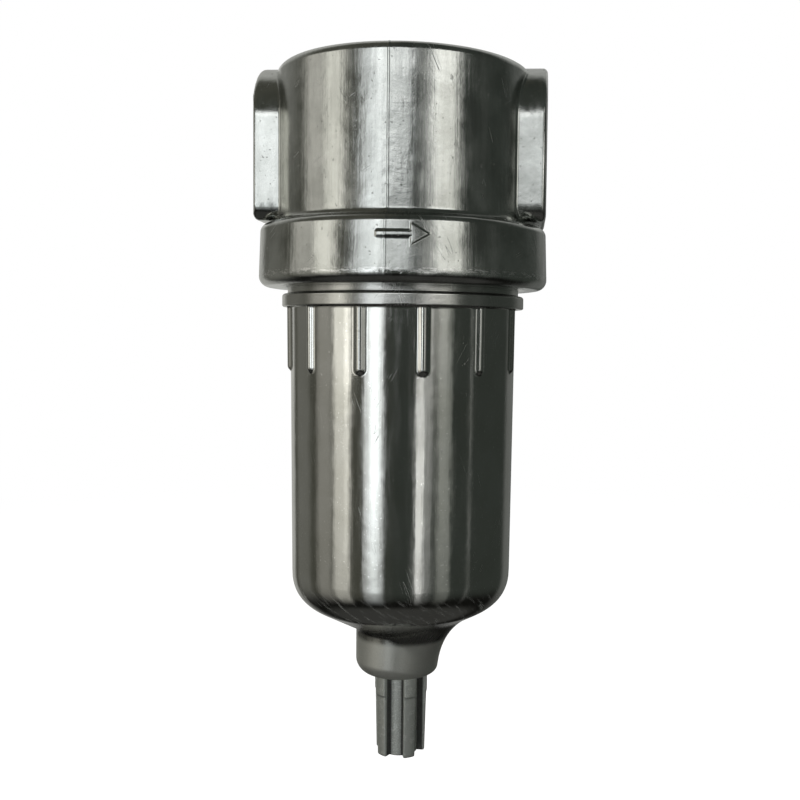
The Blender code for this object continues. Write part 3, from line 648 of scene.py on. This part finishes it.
class Nodes:
    """Short calls for building a tree of shader nodes."""

    def __init__(self, tree):
        self.tree = tree

    def add(self, kind, **settings):
        node = self.tree.nodes.new(kind)
        for key, value in settings.items():
            setattr(node, key, value)
        return node

    def link(self, source, target):
        if isinstance(source, (int, float, tuple)):
            target.default_value = source
        else:
            self.tree.links.new(source, target)

    def split(self, vector):
        node = self.add("ShaderNodeSeparateXYZ")
        self.link(vector, node.inputs[0])
        return node.outputs

    def join(self, *parts):
        node = self.add("ShaderNodeCombineXYZ")
        for part, target in zip(parts, node.inputs):
            self.link(part, target)
        return node.outputs[0]

    def math(self, operation, *values):
        node = self.add("ShaderNodeMath", operation=operation)
        for source, target in zip(values, node.inputs):
            self.link(source, target)
        return node.outputs[0]

    def square(self, value):
        return self.math("MULTIPLY", value, value)

    def ramp(self, value, low, high, to_low=0.0, to_high=1.0):
        node = self.add("ShaderNodeMapRange", interpolation_type="SMOOTHSTEP")
        for source, target in zip((value, low, high, to_low, to_high), node.inputs):
            self.link(source, target)
        return node.outputs[0]

    def between(self, value, low, high, soft):
        """1 between two values, fading to 0 over a soft edge outside them."""
        rise = self.ramp(value, low - soft, low)
        return self.math("MULTIPLY", rise, self.ramp(value, high, high + soft, 1.0, 0.0))

    def blend(self, share, a, b):
        """A number between a and b."""
        return self.math("MULTIPLY_ADD", share, self.math("SUBTRACT", b, a), a)

    def colour(self, share, a, b, mode="MIX"):
        node = self.add("ShaderNodeMix", data_type="RGBA", blend_type=mode)
        for source, target in zip((share, a, b), (node.inputs[0], node.inputs[6], node.inputs[7])):
            self.link((*source, 1.0) if isinstance(source, tuple) else source, target)
        return node.outputs[2]


class Surface(Nodes):
    """A material's nodes, with the coordinates and patterns that the finishes share.

    where is the point on the object in millimetres. unrolled is the same point laid flat: millimetres round
    the axis at drum radius from the front, height, and distance from the axis.
    """

    def __init__(self, name):
        self.material = bpy.data.materials.new(name)
        self.material.use_nodes = True
        super().__init__(self.material.node_tree)
        self.shader = self.tree.nodes["Principled BSDF"]
        scale = self.add("ShaderNodeVectorMath", operation="SCALE")
        self.link(self.add("ShaderNodeTexCoord").outputs["Object"], scale.inputs[0])
        scale.inputs["Scale"].default_value = 1 / MM
        self.where = scale.outputs[0]
        self.x, self.y, self.z = self.split(self.where)
        self.rho = self.math("SQRT", self.math("ADD", self.square(self.x), self.square(self.y)))
        turn = self.math("ARCTAN2", self.x, self.math("MULTIPLY", self.y, -1.0))
        self.across = self.math("MULTIPLY", turn, DRUM_R)
        self.unrolled = self.join(self.across, self.z, self.rho)

    def noise(self, vector, scale, detail=3.0, stretch=None, turn_deg=0.0):
        """Noise from 0 to 1, its pattern turned in the XY plane and then stretched."""
        if turn_deg:
            turn = self.add("ShaderNodeMapping")
            turn.inputs["Rotation"].default_value = (0, 0, math.radians(turn_deg))
            self.link(vector, turn.inputs["Vector"])
            vector = turn.outputs[0]
        if stretch:
            mapping = self.add("ShaderNodeMapping")
            mapping.inputs["Scale"].default_value = stretch
            self.link(vector, mapping.inputs["Vector"])
            vector = mapping.outputs[0]
        node = self.add("ShaderNodeTexNoise")
        self.link(vector, node.inputs["Vector"])
        node.inputs["Scale"].default_value = scale
        node.inputs["Detail"].default_value = detail
        return node.outputs[0]

    def scratches(self, turn_deg, width, amount):
        """Long thin lines in one direction on the unrolled surface, where a slower noise lets them show."""
        pattern = self.noise(self.unrolled, 0.5, 1.0, (1.0, 0.05, 0.2), turn_deg)
        from_line = self.math("ABSOLUTE", self.math("SUBTRACT", pattern, 0.5))
        line = self.ramp(from_line, 0.0, width, 1.0, 0.0)
        patch = self.noise(self.unrolled, 0.11, 2.0, None, turn_deg + 90)
        shown = self.ramp(patch, 1 - amount, 1.06 - amount)
        return self.math("MULTIPLY", line, shown)

    def bump(self, height, distance, below=None):
        """A surface normal from a height, with distance in millimetres, laid over the one below."""
        node = self.add("ShaderNodeBump")
        node.inputs["Distance"].default_value = distance * MM
        self.link(height, node.inputs["Height"])
        if below:
            self.link(below, node.inputs["Normal"])
        return node.outputs[0]

    def finish(self, colour, roughness, normal, metallic=0.0):
        self.link((*colour, 1.0) if isinstance(colour, tuple) else colour, self.shader.inputs["Base Color"])
        self.link(roughness, self.shader.inputs["Roughness"])
        self.link(normal, self.shader.inputs["Normal"])
        self.link(metallic, self.shader.inputs["Metallic"])
        return self.material


def head_metal():
    """Satin die casting: cloudy, streaked upright by the die, rippled beside the parting line, scratched."""
    coat = Surface("head_metal")
    cloud = coat.noise(coat.where, 0.12, 4.0)
    streak = coat.noise(coat.unrolled, 1.4, 3.0, (1.0, 0.05, 0.3))
    grain = coat.noise(coat.where, 4.5, 2.0)
    ripple = coat.noise(coat.unrolled, 0.60, 6.0, (0.22, 1.1, 0.3), 8.0)
    dent = coat.noise(coat.unrolled, 0.28, 3.0, (1.0, 0.6, 0.3))
    scratch = coat.math(
        "MAXIMUM", coat.scratches(-24.0, 0.005, 0.37), coat.scratches(62.0, 0.004, 0.36)
    )
    beside_line = coat.math(
        "MULTIPLY",
        coat.between(coat.across, -3.5, 2.5, 7.0),
        coat.between(coat.z, SHOULDER_Z + 6, HEAD_TOP - 10, 6.0),
    )
    beside_line = coat.math("MULTIPLY", beside_line, coat.ramp(cloud, 0.35, 0.60, 0.3, 1.0))
    pit = coat.ramp(coat.noise(coat.where, 1.1, 1.0), 0.73, 0.78)
    edge_wear = coat.math(
        "MULTIPLY",
        coat.between(coat.z, FLANGE_Z + 2.6, FLANGE_Z + 3.4, 0.5),
        coat.ramp(coat.noise(coat.unrolled, 0.6, 2.0, (1.0, 2.5, 1.0)), 0.45, 0.60),
    )
    face = coat.between(coat.math("ABSOLUTE", coat.x), PORT_FACE_X - 0.4, PORT_FACE_X + 1, 0.1)
    tone = coat.colour(coat.ramp(cloud, 0.3, 0.7), (0.50, 0.51, 0.49), (0.66, 0.67, 0.65))
    tone = coat.colour(coat.math("MULTIPLY", pit, 0.30), tone, (0.20, 0.20, 0.19))
    tone = coat.colour(coat.math("MAXIMUM", edge_wear, face), tone, (0.80, 0.80, 0.79))
    rough = coat.math("ADD", coat.math("MULTIPLY", cloud, 0.5), coat.math("MULTIPLY", streak, 0.5))
    rough = coat.ramp(rough, 0.32, 0.68, 0.13, 0.25)
    rough = coat.math("MULTIPLY_ADD", beside_line, 0.04, rough)
    rough = coat.math("MULTIPLY_ADD", scratch, 0.25, rough)
    rough = coat.math("MULTIPLY_ADD", coat.math("MAXIMUM", edge_wear, face), 0.10, rough)
    to_port = coat.math("SUBTRACT", coat.z, PORT_Z)
    from_port = coat.math("SQRT", coat.math("ADD", coat.square(coat.y), coat.square(to_port)))
    facing_cuts = coat.math("MULTIPLY", coat.math("SINE", coat.math("MULTIPLY", from_port, 16.0)), face)
    normal = coat.bump(coat.noise(coat.where, 0.20, 3.0), 0.09)
    normal = coat.bump(coat.math("MULTIPLY", coat.math("ADD", ripple, dent), beside_line), 0.075, normal)
    normal = coat.bump(streak, 0.02, normal)
    normal = coat.bump(coat.math("ADD", grain, coat.math("MULTIPLY", pit, -3.0)), 0.010, normal)
    normal = coat.bump(coat.math("SUBTRACT", facing_cuts, scratch), 0.012, normal)
    return coat.finish(tone, rough, normal, 1.0)


def bowl_metal():
    """Smooth bright metal: machined collar and neck, scuffed knuckle, dome darkened with painted shade, and
    matte boss.
    """
    coat = Surface("bowl_metal")
    cloud = coat.noise(coat.where, 0.10, 3.0)
    grain = coat.noise(coat.where, 5.0, 2.0)
    machined = coat.ramp(coat.z, COLLAR_Z - 0.2, COLLAR_Z + 0.1)
    ragged = coat.math("MULTIPLY_ADD", grain, 1.2, coat.z)
    under = coat.ramp(ragged, BOSS_Z + 10.5, BOSS_Z + 12.5, 1.0, 0.0)
    boss = coat.math("MULTIPLY", coat.ramp(coat.rho, BOSS_R + 3.0, BOSS_R + 4.0, 1.0, 0.0), under)
    knuckle = coat.between(coat.z, WALL_END_Z - 6.0, WALL_END_Z + 0.5, 3.0)
    rubbed = coat.ramp(coat.noise(coat.unrolled, 0.9, 8.0, (0.16, 1.2, 0.4), 32.0), 0.50, 0.80)
    scuff = coat.math("MULTIPLY", knuckle, rubbed)
    scratch = coat.math(
        "MAXIMUM", coat.scratches(-20.0, 0.003, 0.40), coat.scratches(35.0, 0.003, 0.38)
    )
    dust = coat.ramp(coat.noise(coat.where, 1.8, 1.0), 0.70, 0.74)
    tone = coat.colour(coat.ramp(cloud, 0.3, 0.7), (0.60, 0.60, 0.57), (0.66, 0.66, 0.64))
    tone = coat.colour(machined, tone, (0.60, 0.60, 0.58))
    pale = coat.math("MAXIMUM", coat.math("MULTIPLY", scuff, 0.35), dust)
    tone = coat.colour(pale, tone, (0.85, 0.85, 0.83))
    # Painted shade: the dome below the knuckle is darkened nearly to black and made rougher
    painted_dome_shade = coat.math("MULTIPLY", coat.ramp(coat.z, WALL_END_Z - 10.5, WALL_END_Z - 4.5, 1.0, 0.0), 0.75)
    tone = coat.colour(painted_dome_shade, tone, (0.10, 0.10, 0.09))
    boss_tone = coat.colour(coat.ramp(grain, 0.3, 0.7), (0.62, 0.62, 0.58), (0.74, 0.74, 0.70))
    tone = coat.colour(boss, tone, boss_tone)
    rough = coat.ramp(coat.noise(coat.unrolled, 0.6, 4.0, (1.0, 0.12, 1.0)), 0.3, 0.7, 0.08, 0.16)
    rough = coat.blend(machined, rough, 0.24)
    rough = coat.math("MULTIPLY_ADD", scuff, 0.25, rough)
    rough = coat.math("MULTIPLY_ADD", scratch, 0.20, rough)
    rough = coat.math("MULTIPLY_ADD", painted_dome_shade, 0.20, rough)
    rough = coat.blend(boss, rough, coat.ramp(grain, 0.3, 0.7, 0.34, 0.48))
    cuts = coat.math("SINE", coat.math("MULTIPLY", coat.z, 21.0))
    cuts = coat.math("MULTIPLY", coat.math("ADD", cuts, grain), machined)
    drawn = coat.noise(coat.unrolled, 0.9, 4.0, (1.0, 0.05, 1.0))
    normal = coat.bump(coat.noise(coat.where, 0.16, 2.0), 0.06)
    normal = coat.bump(drawn, 0.010, normal)
    normal = coat.bump(cuts, 0.005, normal)
    normal = coat.bump(coat.math("SUBTRACT", coat.math("MULTIPLY", grain, 0.25), scratch), 0.006, normal)
    normal = coat.bump(coat.math("MULTIPLY", grain, coat.math("ADD", boss, scuff)), 0.03, normal)
    dull = coat.math("MAXIMUM", coat.math("MULTIPLY", boss, 0.30), coat.math("MULTIPLY", scuff, 0.45))
    metallic = coat.math("SUBTRACT", 1.0, dull)
    return coat.finish(tone, rough, normal, metallic)


def knob_metal():
    """A matte casting with a coarse grain, paler in its hollows, rubbed smooth in places, with painted shade
    on its flute walls.
    """
    coat = Surface("knob_metal")
    grain = coat.noise(coat.where, 2.6, 4.0)
    patch = coat.noise(coat.where, 0.5, 3.0)
    hollow = coat.ramp(coat.rho, FLUTE_FLOOR_R, KNOB_R, 1.0, 0.0)
    rubbed = coat.math("MULTIPLY", coat.ramp(patch, 0.48, 0.62), coat.ramp(grain, 0.40, 0.60))
    pitch = math.tau / FLUTE_COUNT
    turn = coat.math("SUBTRACT", coat.math("ARCTAN2", coat.y, coat.x), FLUTE_FIRST)
    in_flute = coat.math("ABSOLUTE", coat.math("WRAP", turn, -pitch / 2, pitch / 2))
    wall = coat.between(in_flute, FLUTE_HALF - 0.05, FLUTE_HALF + 0.01, 0.06)
    # Painted shade: the flute walls are darkened towards the flute floors, almost to black
    painted_flute_shade = coat.math("MULTIPLY", wall, coat.ramp(coat.rho, KNOB_R - 1.4, KNOB_R - 0.9, 0.85, 0.0))
    tone = coat.colour(rubbed, (0.61, 0.63, 0.60), (0.77, 0.79, 0.76))
    tone = coat.colour(coat.math("MULTIPLY", hollow, coat.ramp(grain, 0.5, 0.7)), tone, (0.84, 0.86, 0.83))
    tone = coat.colour(painted_flute_shade, tone, (0.04, 0.04, 0.04))
    rough = coat.ramp(coat.math("ADD", grain, patch), 0.7, 1.3, 0.55, 0.38)
    normal = coat.bump(patch, 0.08)
    normal = coat.bump(grain, 0.035, normal)
    return coat.finish(tone, rough, normal, 0.72)


def plated_steel():
    """Zinc plating, faintly blue and yellow, with fine tooling lines."""
    coat = Surface("plated_steel")
    cloud = coat.noise(coat.where, 0.5, 3.0)
    lines = coat.noise(coat.where, 3.0, 2.0, (0.3, 0.3, 4.0))
    tone = coat.colour(coat.ramp(cloud, 0.35, 0.65), (0.58, 0.60, 0.62), (0.68, 0.67, 0.60))
    rough = coat.ramp(lines, 0.3, 0.7, 0.22, 0.36)
    return coat.finish(tone, rough, coat.bump(lines, 0.015), 1.0)


def turned_brass():
    """Brass from the lathe, with tool rings and a few duller patches."""
    coat = Surface("turned_brass")
    cloud = coat.noise(coat.where, 0.7, 4.0)
    rings = coat.noise(coat.where, 4.0, 2.0, (0.2, 0.2, 5.0))
    tone = coat.colour(coat.ramp(cloud, 0.35, 0.68), (0.80, 0.60, 0.28), (0.58, 0.42, 0.20))
    rough = coat.ramp(coat.math("ADD", rings, cloud), 0.7, 1.3, 0.18, 0.36)
    return coat.finish(tone, rough, coat.bump(rings, 0.02), 1.0)


def sintered_bronze():
    """Bronze beads sintered into an open, grainy wall."""
    coat = Surface("sintered_bronze")
    beads = coat.add("ShaderNodeTexVoronoi")
    coat.link(coat.where, beads.inputs["Vector"])
    beads.inputs["Scale"].default_value = 2.4
    distance = beads.outputs["Distance"]
    cloud = coat.noise(coat.where, 0.3, 3.0)
    bead = coat.ramp(distance, 0.25, 0.62, 1.0, 0.0)
    tone = coat.colour(coat.ramp(cloud, 0.3, 0.7), (0.58, 0.38, 0.20), (0.66, 0.47, 0.29))
    # Painted shade: the pores between the beads are darkened nearly to black
    tone = coat.colour(bead, (0.09, 0.055, 0.03), tone)
    rough = coat.blend(bead, 0.85, 0.40)
    return coat.finish(tone, rough, coat.bump(bead, 0.16), 0.8)


def moulded_plastic():
    """Black moulded plastic with a fine spark-eroded grain."""
    coat = Surface("moulded_plastic")
    grain = coat.noise(coat.where, 3.2, 3.0)
    cloud = coat.noise(coat.where, 0.25, 2.0)
    tone = coat.colour(coat.ramp(cloud, 0.3, 0.7), (0.032, 0.033, 0.036), (0.055, 0.055, 0.058))
    return coat.finish(tone, coat.ramp(grain, 0.3, 0.7, 0.38, 0.55), coat.bump(grain, 0.02))


def nitrile_rubber():
    """Black rubber with a trace of grease, its mould seam worn away."""
    coat = Surface("nitrile_rubber")
    grease = coat.noise(coat.unrolled, 0.5, 3.0)
    grain = coat.noise(coat.where, 5.0, 2.0)
    tone = coat.colour(coat.ramp(grain, 0.4, 0.7), (0.014, 0.014, 0.015), (0.030, 0.030, 0.031))
    return coat.finish(tone, coat.ramp(grease, 0.4, 0.6, 0.30, 0.55), coat.bump(grain, 0.012))


def pressed_fibre():
    """Grey-green gasket sheet: short fibres pressed flat in every direction."""
    coat = Surface("pressed_fibre")
    long_way = coat.noise(coat.where, 3.0, 3.0, (0.25, 1.8, 1.0), 20.0)
    cross_way = coat.noise(coat.where, 3.0, 3.0, (0.25, 1.8, 1.0), 105.0)
    fibres = coat.math("MAXIMUM", long_way, cross_way)
    tone = coat.colour(coat.ramp(fibres, 0.45, 0.70), (0.10, 0.12, 0.10), (0.24, 0.27, 0.22))
    return coat.finish(tone, coat.ramp(fibres, 0.4, 0.7, 0.75, 0.92), coat.bump(fibres, 0.05))


# The camera: degrees round to the right of the front, metres from the axis and above the knob's tip, and
# how far it is turned, tipped, rolled and shifted from looking level at the axis
VIEW_AZIMUTH = 6.8
VIEW_DISTANCE = 0.284
VIEW_Z = 0.1197
VIEW_HEADING = VIEW_AZIMUTH - 3.19
VIEW_PITCH = -3.7
VIEW_ROLL = 0.71
VIEW_LENS = 45.2
VIEW_SHIFT_X = -0.0732

# Upright light panels round the object. Azimuth is in degrees to the right of the camera's side. The last
# four numbers are the brightness at 19 degrees below level, at 8 below, at level, and from 8 above upwards.
LIGHT_PANELS = [
    # azimuth, half width, soft edge, colour, low, below, level, high
    (-178, 10, 8, (1.00, 1.00, 0.98), 0.40, 0.45, 0.50, 0.50),
    (-157, 12, 10, (1.00, 1.00, 0.97), 0.32, 0.38, 0.45, 0.40),
    (-122, 14, 12, (1.00, 1.00, 0.95), 0.08, 0.10, 0.10, 0.05),
    (-86, 10, 9, (1.00, 0.97, 0.90), 0.18, 0.22, 0.26, 0.55),
    (-64, 9, 5, (1.00, 0.98, 0.90), 0.42, 0.70, 1.25, 1.40),
    (-56, 4, 3, (1.00, 0.98, 0.92), 0.00, 0.25, 0.75, 0.00),
    (-29, 10, 4, (0.95, 0.98, 1.00), 0.30, 0.85, 1.20, 1.15),
    (-28, 4.5, 7, (0.90, 0.97, 1.00), 0.15, 1.20, 1.30, 0.10),
    (-14, 9, 7, (0.96, 0.99, 1.00), 0.00, 0.00, 0.00, 0.95),
    (0, 5, 5, (0.96, 0.99, 1.00), 0.00, 0.00, 0.00, 0.90),
    (17.5, 3, 4, (1.00, 1.00, 0.98), 0.45, 3.30, 0.60, 0.25),
    (25, 4, 4, (1.00, 1.00, 0.98), 0.08, 0.25, 0.40, 0.50),
    (35, 10, 5, (1.00, 0.99, 0.93), 0.00, 0.05, 0.22, 1.55),
    (43, 7, 5, (0.98, 1.00, 0.92), 0.13, 0.24, 0.22, 0.10),
    (73, 1.5, 2, (1.00, 1.00, 0.96), 0.12, 0.12, 0.12, 0.05),
    (150, 16, 14, (1.00, 1.00, 0.97), 0.10, 0.11, 0.12, 0.14),
]
PANEL_FOOT = -44.0
PANEL_FOOT_FULL = -17.0
PANEL_HEAD_FULL = 17.0
PANEL_HEAD = 24.0

# Two short lamps above the panels: azimuth and half width
LAMPS = [(-8, 15), (34, 10)]
LAMP_FOOT = 16.5
LAMP_HEAD = 20.5
LAMP_BRIGHTNESS = 1.3

# The dim surroundings between the lights, and the glow from straight below and from high up behind
ROOM_RIGHT = (0.040, 0.046, 0.040)
ROOM_LEFT = (0.074, 0.074, 0.060)
ROOM_LOW = (0.008, 0.008, 0.007)
GROUND_BOUNCE = (0.040, 0.040, 0.038)
HIGH_BEHIND = (0.42, 0.42, 0.41)


def panel_light(nodes, azimuth, elevation, panel):
    """The light that a direction meets on one upright panel."""
    centre, half_width, soft, colour, low, below, level, high = panel
    away = nodes.math("WRAP", nodes.math("SUBTRACT", azimuth, float(centre)), 180.0, -180.0)
    near = nodes.ramp(nodes.math("ABSOLUTE", away), half_width - soft / 2, half_width + soft / 2, 1.0, 0.0)
    bright = nodes.ramp(elevation, -19.0, -9.5, low, below)
    bright = nodes.math("ADD", bright, nodes.ramp(elevation, -6.0, -2.0, 0.0, level - below))
    bright = nodes.math("ADD", bright, nodes.ramp(elevation, 1.0, 8.0, 0.0, high - level))
    foot = nodes.ramp(elevation, PANEL_FOOT, PANEL_FOOT_FULL)
    head = nodes.ramp(elevation, PANEL_HEAD_FULL, PANEL_HEAD, 1.0, 0.0)
    whole = nodes.math("MULTIPLY", nodes.math("MULTIPLY", bright, near), nodes.math("MULTIPLY", foot, head))
    return nodes.colour(whole, (0.0, 0.0, 0.0), colour)


def lamp_light(nodes, azimuth, elevation, lamp):
    """The light that a direction meets on one lamp."""
    centre, half_width = lamp
    near = nodes.between(azimuth, centre - half_width, centre + half_width, 4.0)
    shape = nodes.math("MULTIPLY", near, nodes.between(elevation, LAMP_FOOT, LAMP_HEAD, 2.0))
    bright = nodes.math("MULTIPLY", shape, LAMP_BRIGHTNESS)
    return nodes.colour(bright, (0.0, 0.0, 0.0), (1.0, 1.0, 1.0))


def studio_world():
    """A white backdrop for the camera, and dark surroundings with upright light panels for the metal."""
    world = bpy.data.worlds.new("studio")
    bpy.context.scene.world = world
    world.use_nodes = True
    world.node_tree.nodes.clear()
    nodes = Nodes(world.node_tree)
    x, y, z = nodes.split(nodes.add("ShaderNodeTexCoord").outputs["Generated"])
    turn = math.radians(VIEW_AZIMUTH)
    across = nodes.math("MULTIPLY_ADD", y, math.sin(turn), nodes.math("MULTIPLY", x, math.cos(turn)))
    toward = nodes.math("MULTIPLY_ADD", y, -math.cos(turn), nodes.math("MULTIPLY", x, math.sin(turn)))
    azimuth = nodes.math("MULTIPLY", nodes.math("ARCTAN2", across, toward), 180 / math.pi)
    elevation = nodes.math("MULTIPLY", nodes.math("ARCSINE", z), 180 / math.pi)
    left = nodes.ramp(azimuth, -45.0, 0.0, 1.0, 0.0)
    around = nodes.colour(left, ROOM_RIGHT, ROOM_LEFT)
    total = nodes.colour(nodes.ramp(elevation, -36.0, -16.0), ROOM_LOW, around)
    for panel in LIGHT_PANELS:
        total = nodes.colour(1.0, total, panel_light(nodes, azimuth, elevation, panel), "ADD")
    behind = nodes.ramp(nodes.math("ABSOLUTE", azimuth), 95.0, 140.0)
    high_behind = nodes.math("MULTIPLY", behind, nodes.between(elevation, 28.0, 64.0, 24.0))
    total = nodes.colour(high_behind, total, HIGH_BEHIND, "ADD")
    straight_below = nodes.ramp(elevation, -56.0, -42.0, 1.0, 0.0)
    total = nodes.colour(straight_below, total, GROUND_BOUNCE, "ADD")
    for lamp in LAMPS:
        total = nodes.colour(1.0, total, lamp_light(nodes, azimuth, elevation, lamp), "ADD")
    lit = nodes.add("ShaderNodeBackground")
    nodes.link(total, lit.inputs["Color"])
    seen = nodes.add("ShaderNodeBackground")
    seen.inputs["Color"].default_value = (1, 1, 1, 1)
    chosen = nodes.add("ShaderNodeMixShader")
    nodes.link(nodes.add("ShaderNodeLightPath").outputs["Is Camera Ray"], chosen.inputs[0])
    nodes.link(lit.outputs[0], chosen.inputs[1])
    nodes.link(seen.outputs[0], chosen.inputs[2])
    nodes.link(chosen.outputs[0], nodes.add("ShaderNodeOutputWorld").inputs[0])


def add_camera():
    """A camera below the collar, close by, a little to the outlet side, framed off its own axis."""
    turn = math.radians(VIEW_AZIMUTH)
    lens = bpy.data.cameras.new("camera")
    lens.sensor_width = 36.0
    lens.lens = VIEW_LENS
    lens.shift_x = VIEW_SHIFT_X
    lens.clip_start = 0.01
    made = bpy.data.objects.new("camera", lens)
    bpy.context.scene.collection.objects.link(made)
    made.location = (VIEW_DISTANCE * math.sin(turn), -VIEW_DISTANCE * math.cos(turn), VIEW_Z)
    heading = Matrix.Rotation(math.radians(VIEW_HEADING), 4, "Z")
    pitch = Matrix.Rotation(math.radians(90 + VIEW_PITCH), 4, "X")
    roll = Matrix.Rotation(math.radians(VIEW_ROLL), 4, "Z")
    made.rotation_euler = (heading @ pitch @ roll).to_euler()
    bpy.context.scene.camera = made


# Below the drain knob at its lowest, 12 mm down
STAGE_Z = -0.0145
STAGE_SIZE = 6.0


def add_floor():
    """A pale floor with a soft shadow, seen by the camera from above and not reflected in the metal."""
    bpy.ops.mesh.primitive_plane_add(size=STAGE_SIZE, location=(0, 0, STAGE_Z))
    floor = bpy.context.object
    floor.name = "floor"
    coat = Surface("pale_floor")
    shader = coat.shader
    shader.inputs["Base Color"].default_value = (0.8, 0.8, 0.8, 1)
    shader.inputs["Roughness"].default_value = 0.9
    shader.inputs["Emission Color"].default_value = (1, 1, 1, 1)
    shader.inputs["Emission Strength"].default_value = 0.92
    plain = coat.add("ShaderNodeEmission")
    far = coat.add("ShaderNodeMixShader")
    coat.link(coat.ramp(coat.rho, 100.0, 600.0), far.inputs[0])
    coat.link(shader.outputs[0], far.inputs[1])
    coat.link(plain.outputs[0], far.inputs[2])
    clear = coat.add("ShaderNodeBsdfTransparent")
    seen = coat.add("ShaderNodeMixShader")
    from_above = coat.math("SUBTRACT", 1.0, coat.add("ShaderNodeNewGeometry").outputs["Backfacing"])
    to_camera = coat.add("ShaderNodeLightPath").outputs["Is Camera Ray"]
    coat.link(coat.math("MULTIPLY", to_camera, from_above), seen.inputs[0])
    coat.link(clear.outputs[0], seen.inputs[1])
    coat.link(far.outputs[0], seen.inputs[2])
    coat.link(seen.outputs[0], coat.tree.nodes["Material Output"].inputs["Surface"])
    floor.data.materials.append(coat.material)


def carry(made, node, body, own_material):
    """Let a made piece stand for a CAD node, on that node's body."""
    made.data.materials.clear()
    made.data.materials.append(own_material)
    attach(made, body)
    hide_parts(node)


def coat_nodes(own_material, *names):
    """Give CAD nodes that keep their own shape a finer material."""
    for name in names:
        for material_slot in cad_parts[name].material_slots:
            material_slot.material = own_material


def dress_filter():
    """Every piece of the filter with its own shape or the CAD's, and its material."""
    brass = turned_brass()
    steel = plated_steel()
    rubber = nitrile_rubber()
    fibre = pressed_fibre()
    carry(make_head(), "head", "head", head_metal())
    carry(make_bowl(), "bowl", "bowl", bowl_metal())
    carry(make_knob(), "drain_knob", "knob", knob_metal())
    carry(make_drain_body(), "drain_body", "bowl", brass)
    carry(make_bowl_seal(), "bowl_seal", "seal_carrier", rubber)
    coat_nodes(rubber, "knob_o_ring", "valve_tip")
    coat_nodes(brass, "drain_needle")
    coat_nodes(steel, "flat_washer", "spring_washer", "stud_nut", "tie_stud", "knob_stop_ring")
    coat_nodes(fibre, "deflector_gasket", "element_top_gasket", "element_bottom_gasket", "drain_gasket")
    coat_nodes(moulded_plastic(), "deflector", "baffle")
    coat_nodes(sintered_bronze(), "filter_element")


dress_filter()
studio_world()
add_floor()
add_camera()
bpy.context.scene.view_settings.view_transform = "Standard"
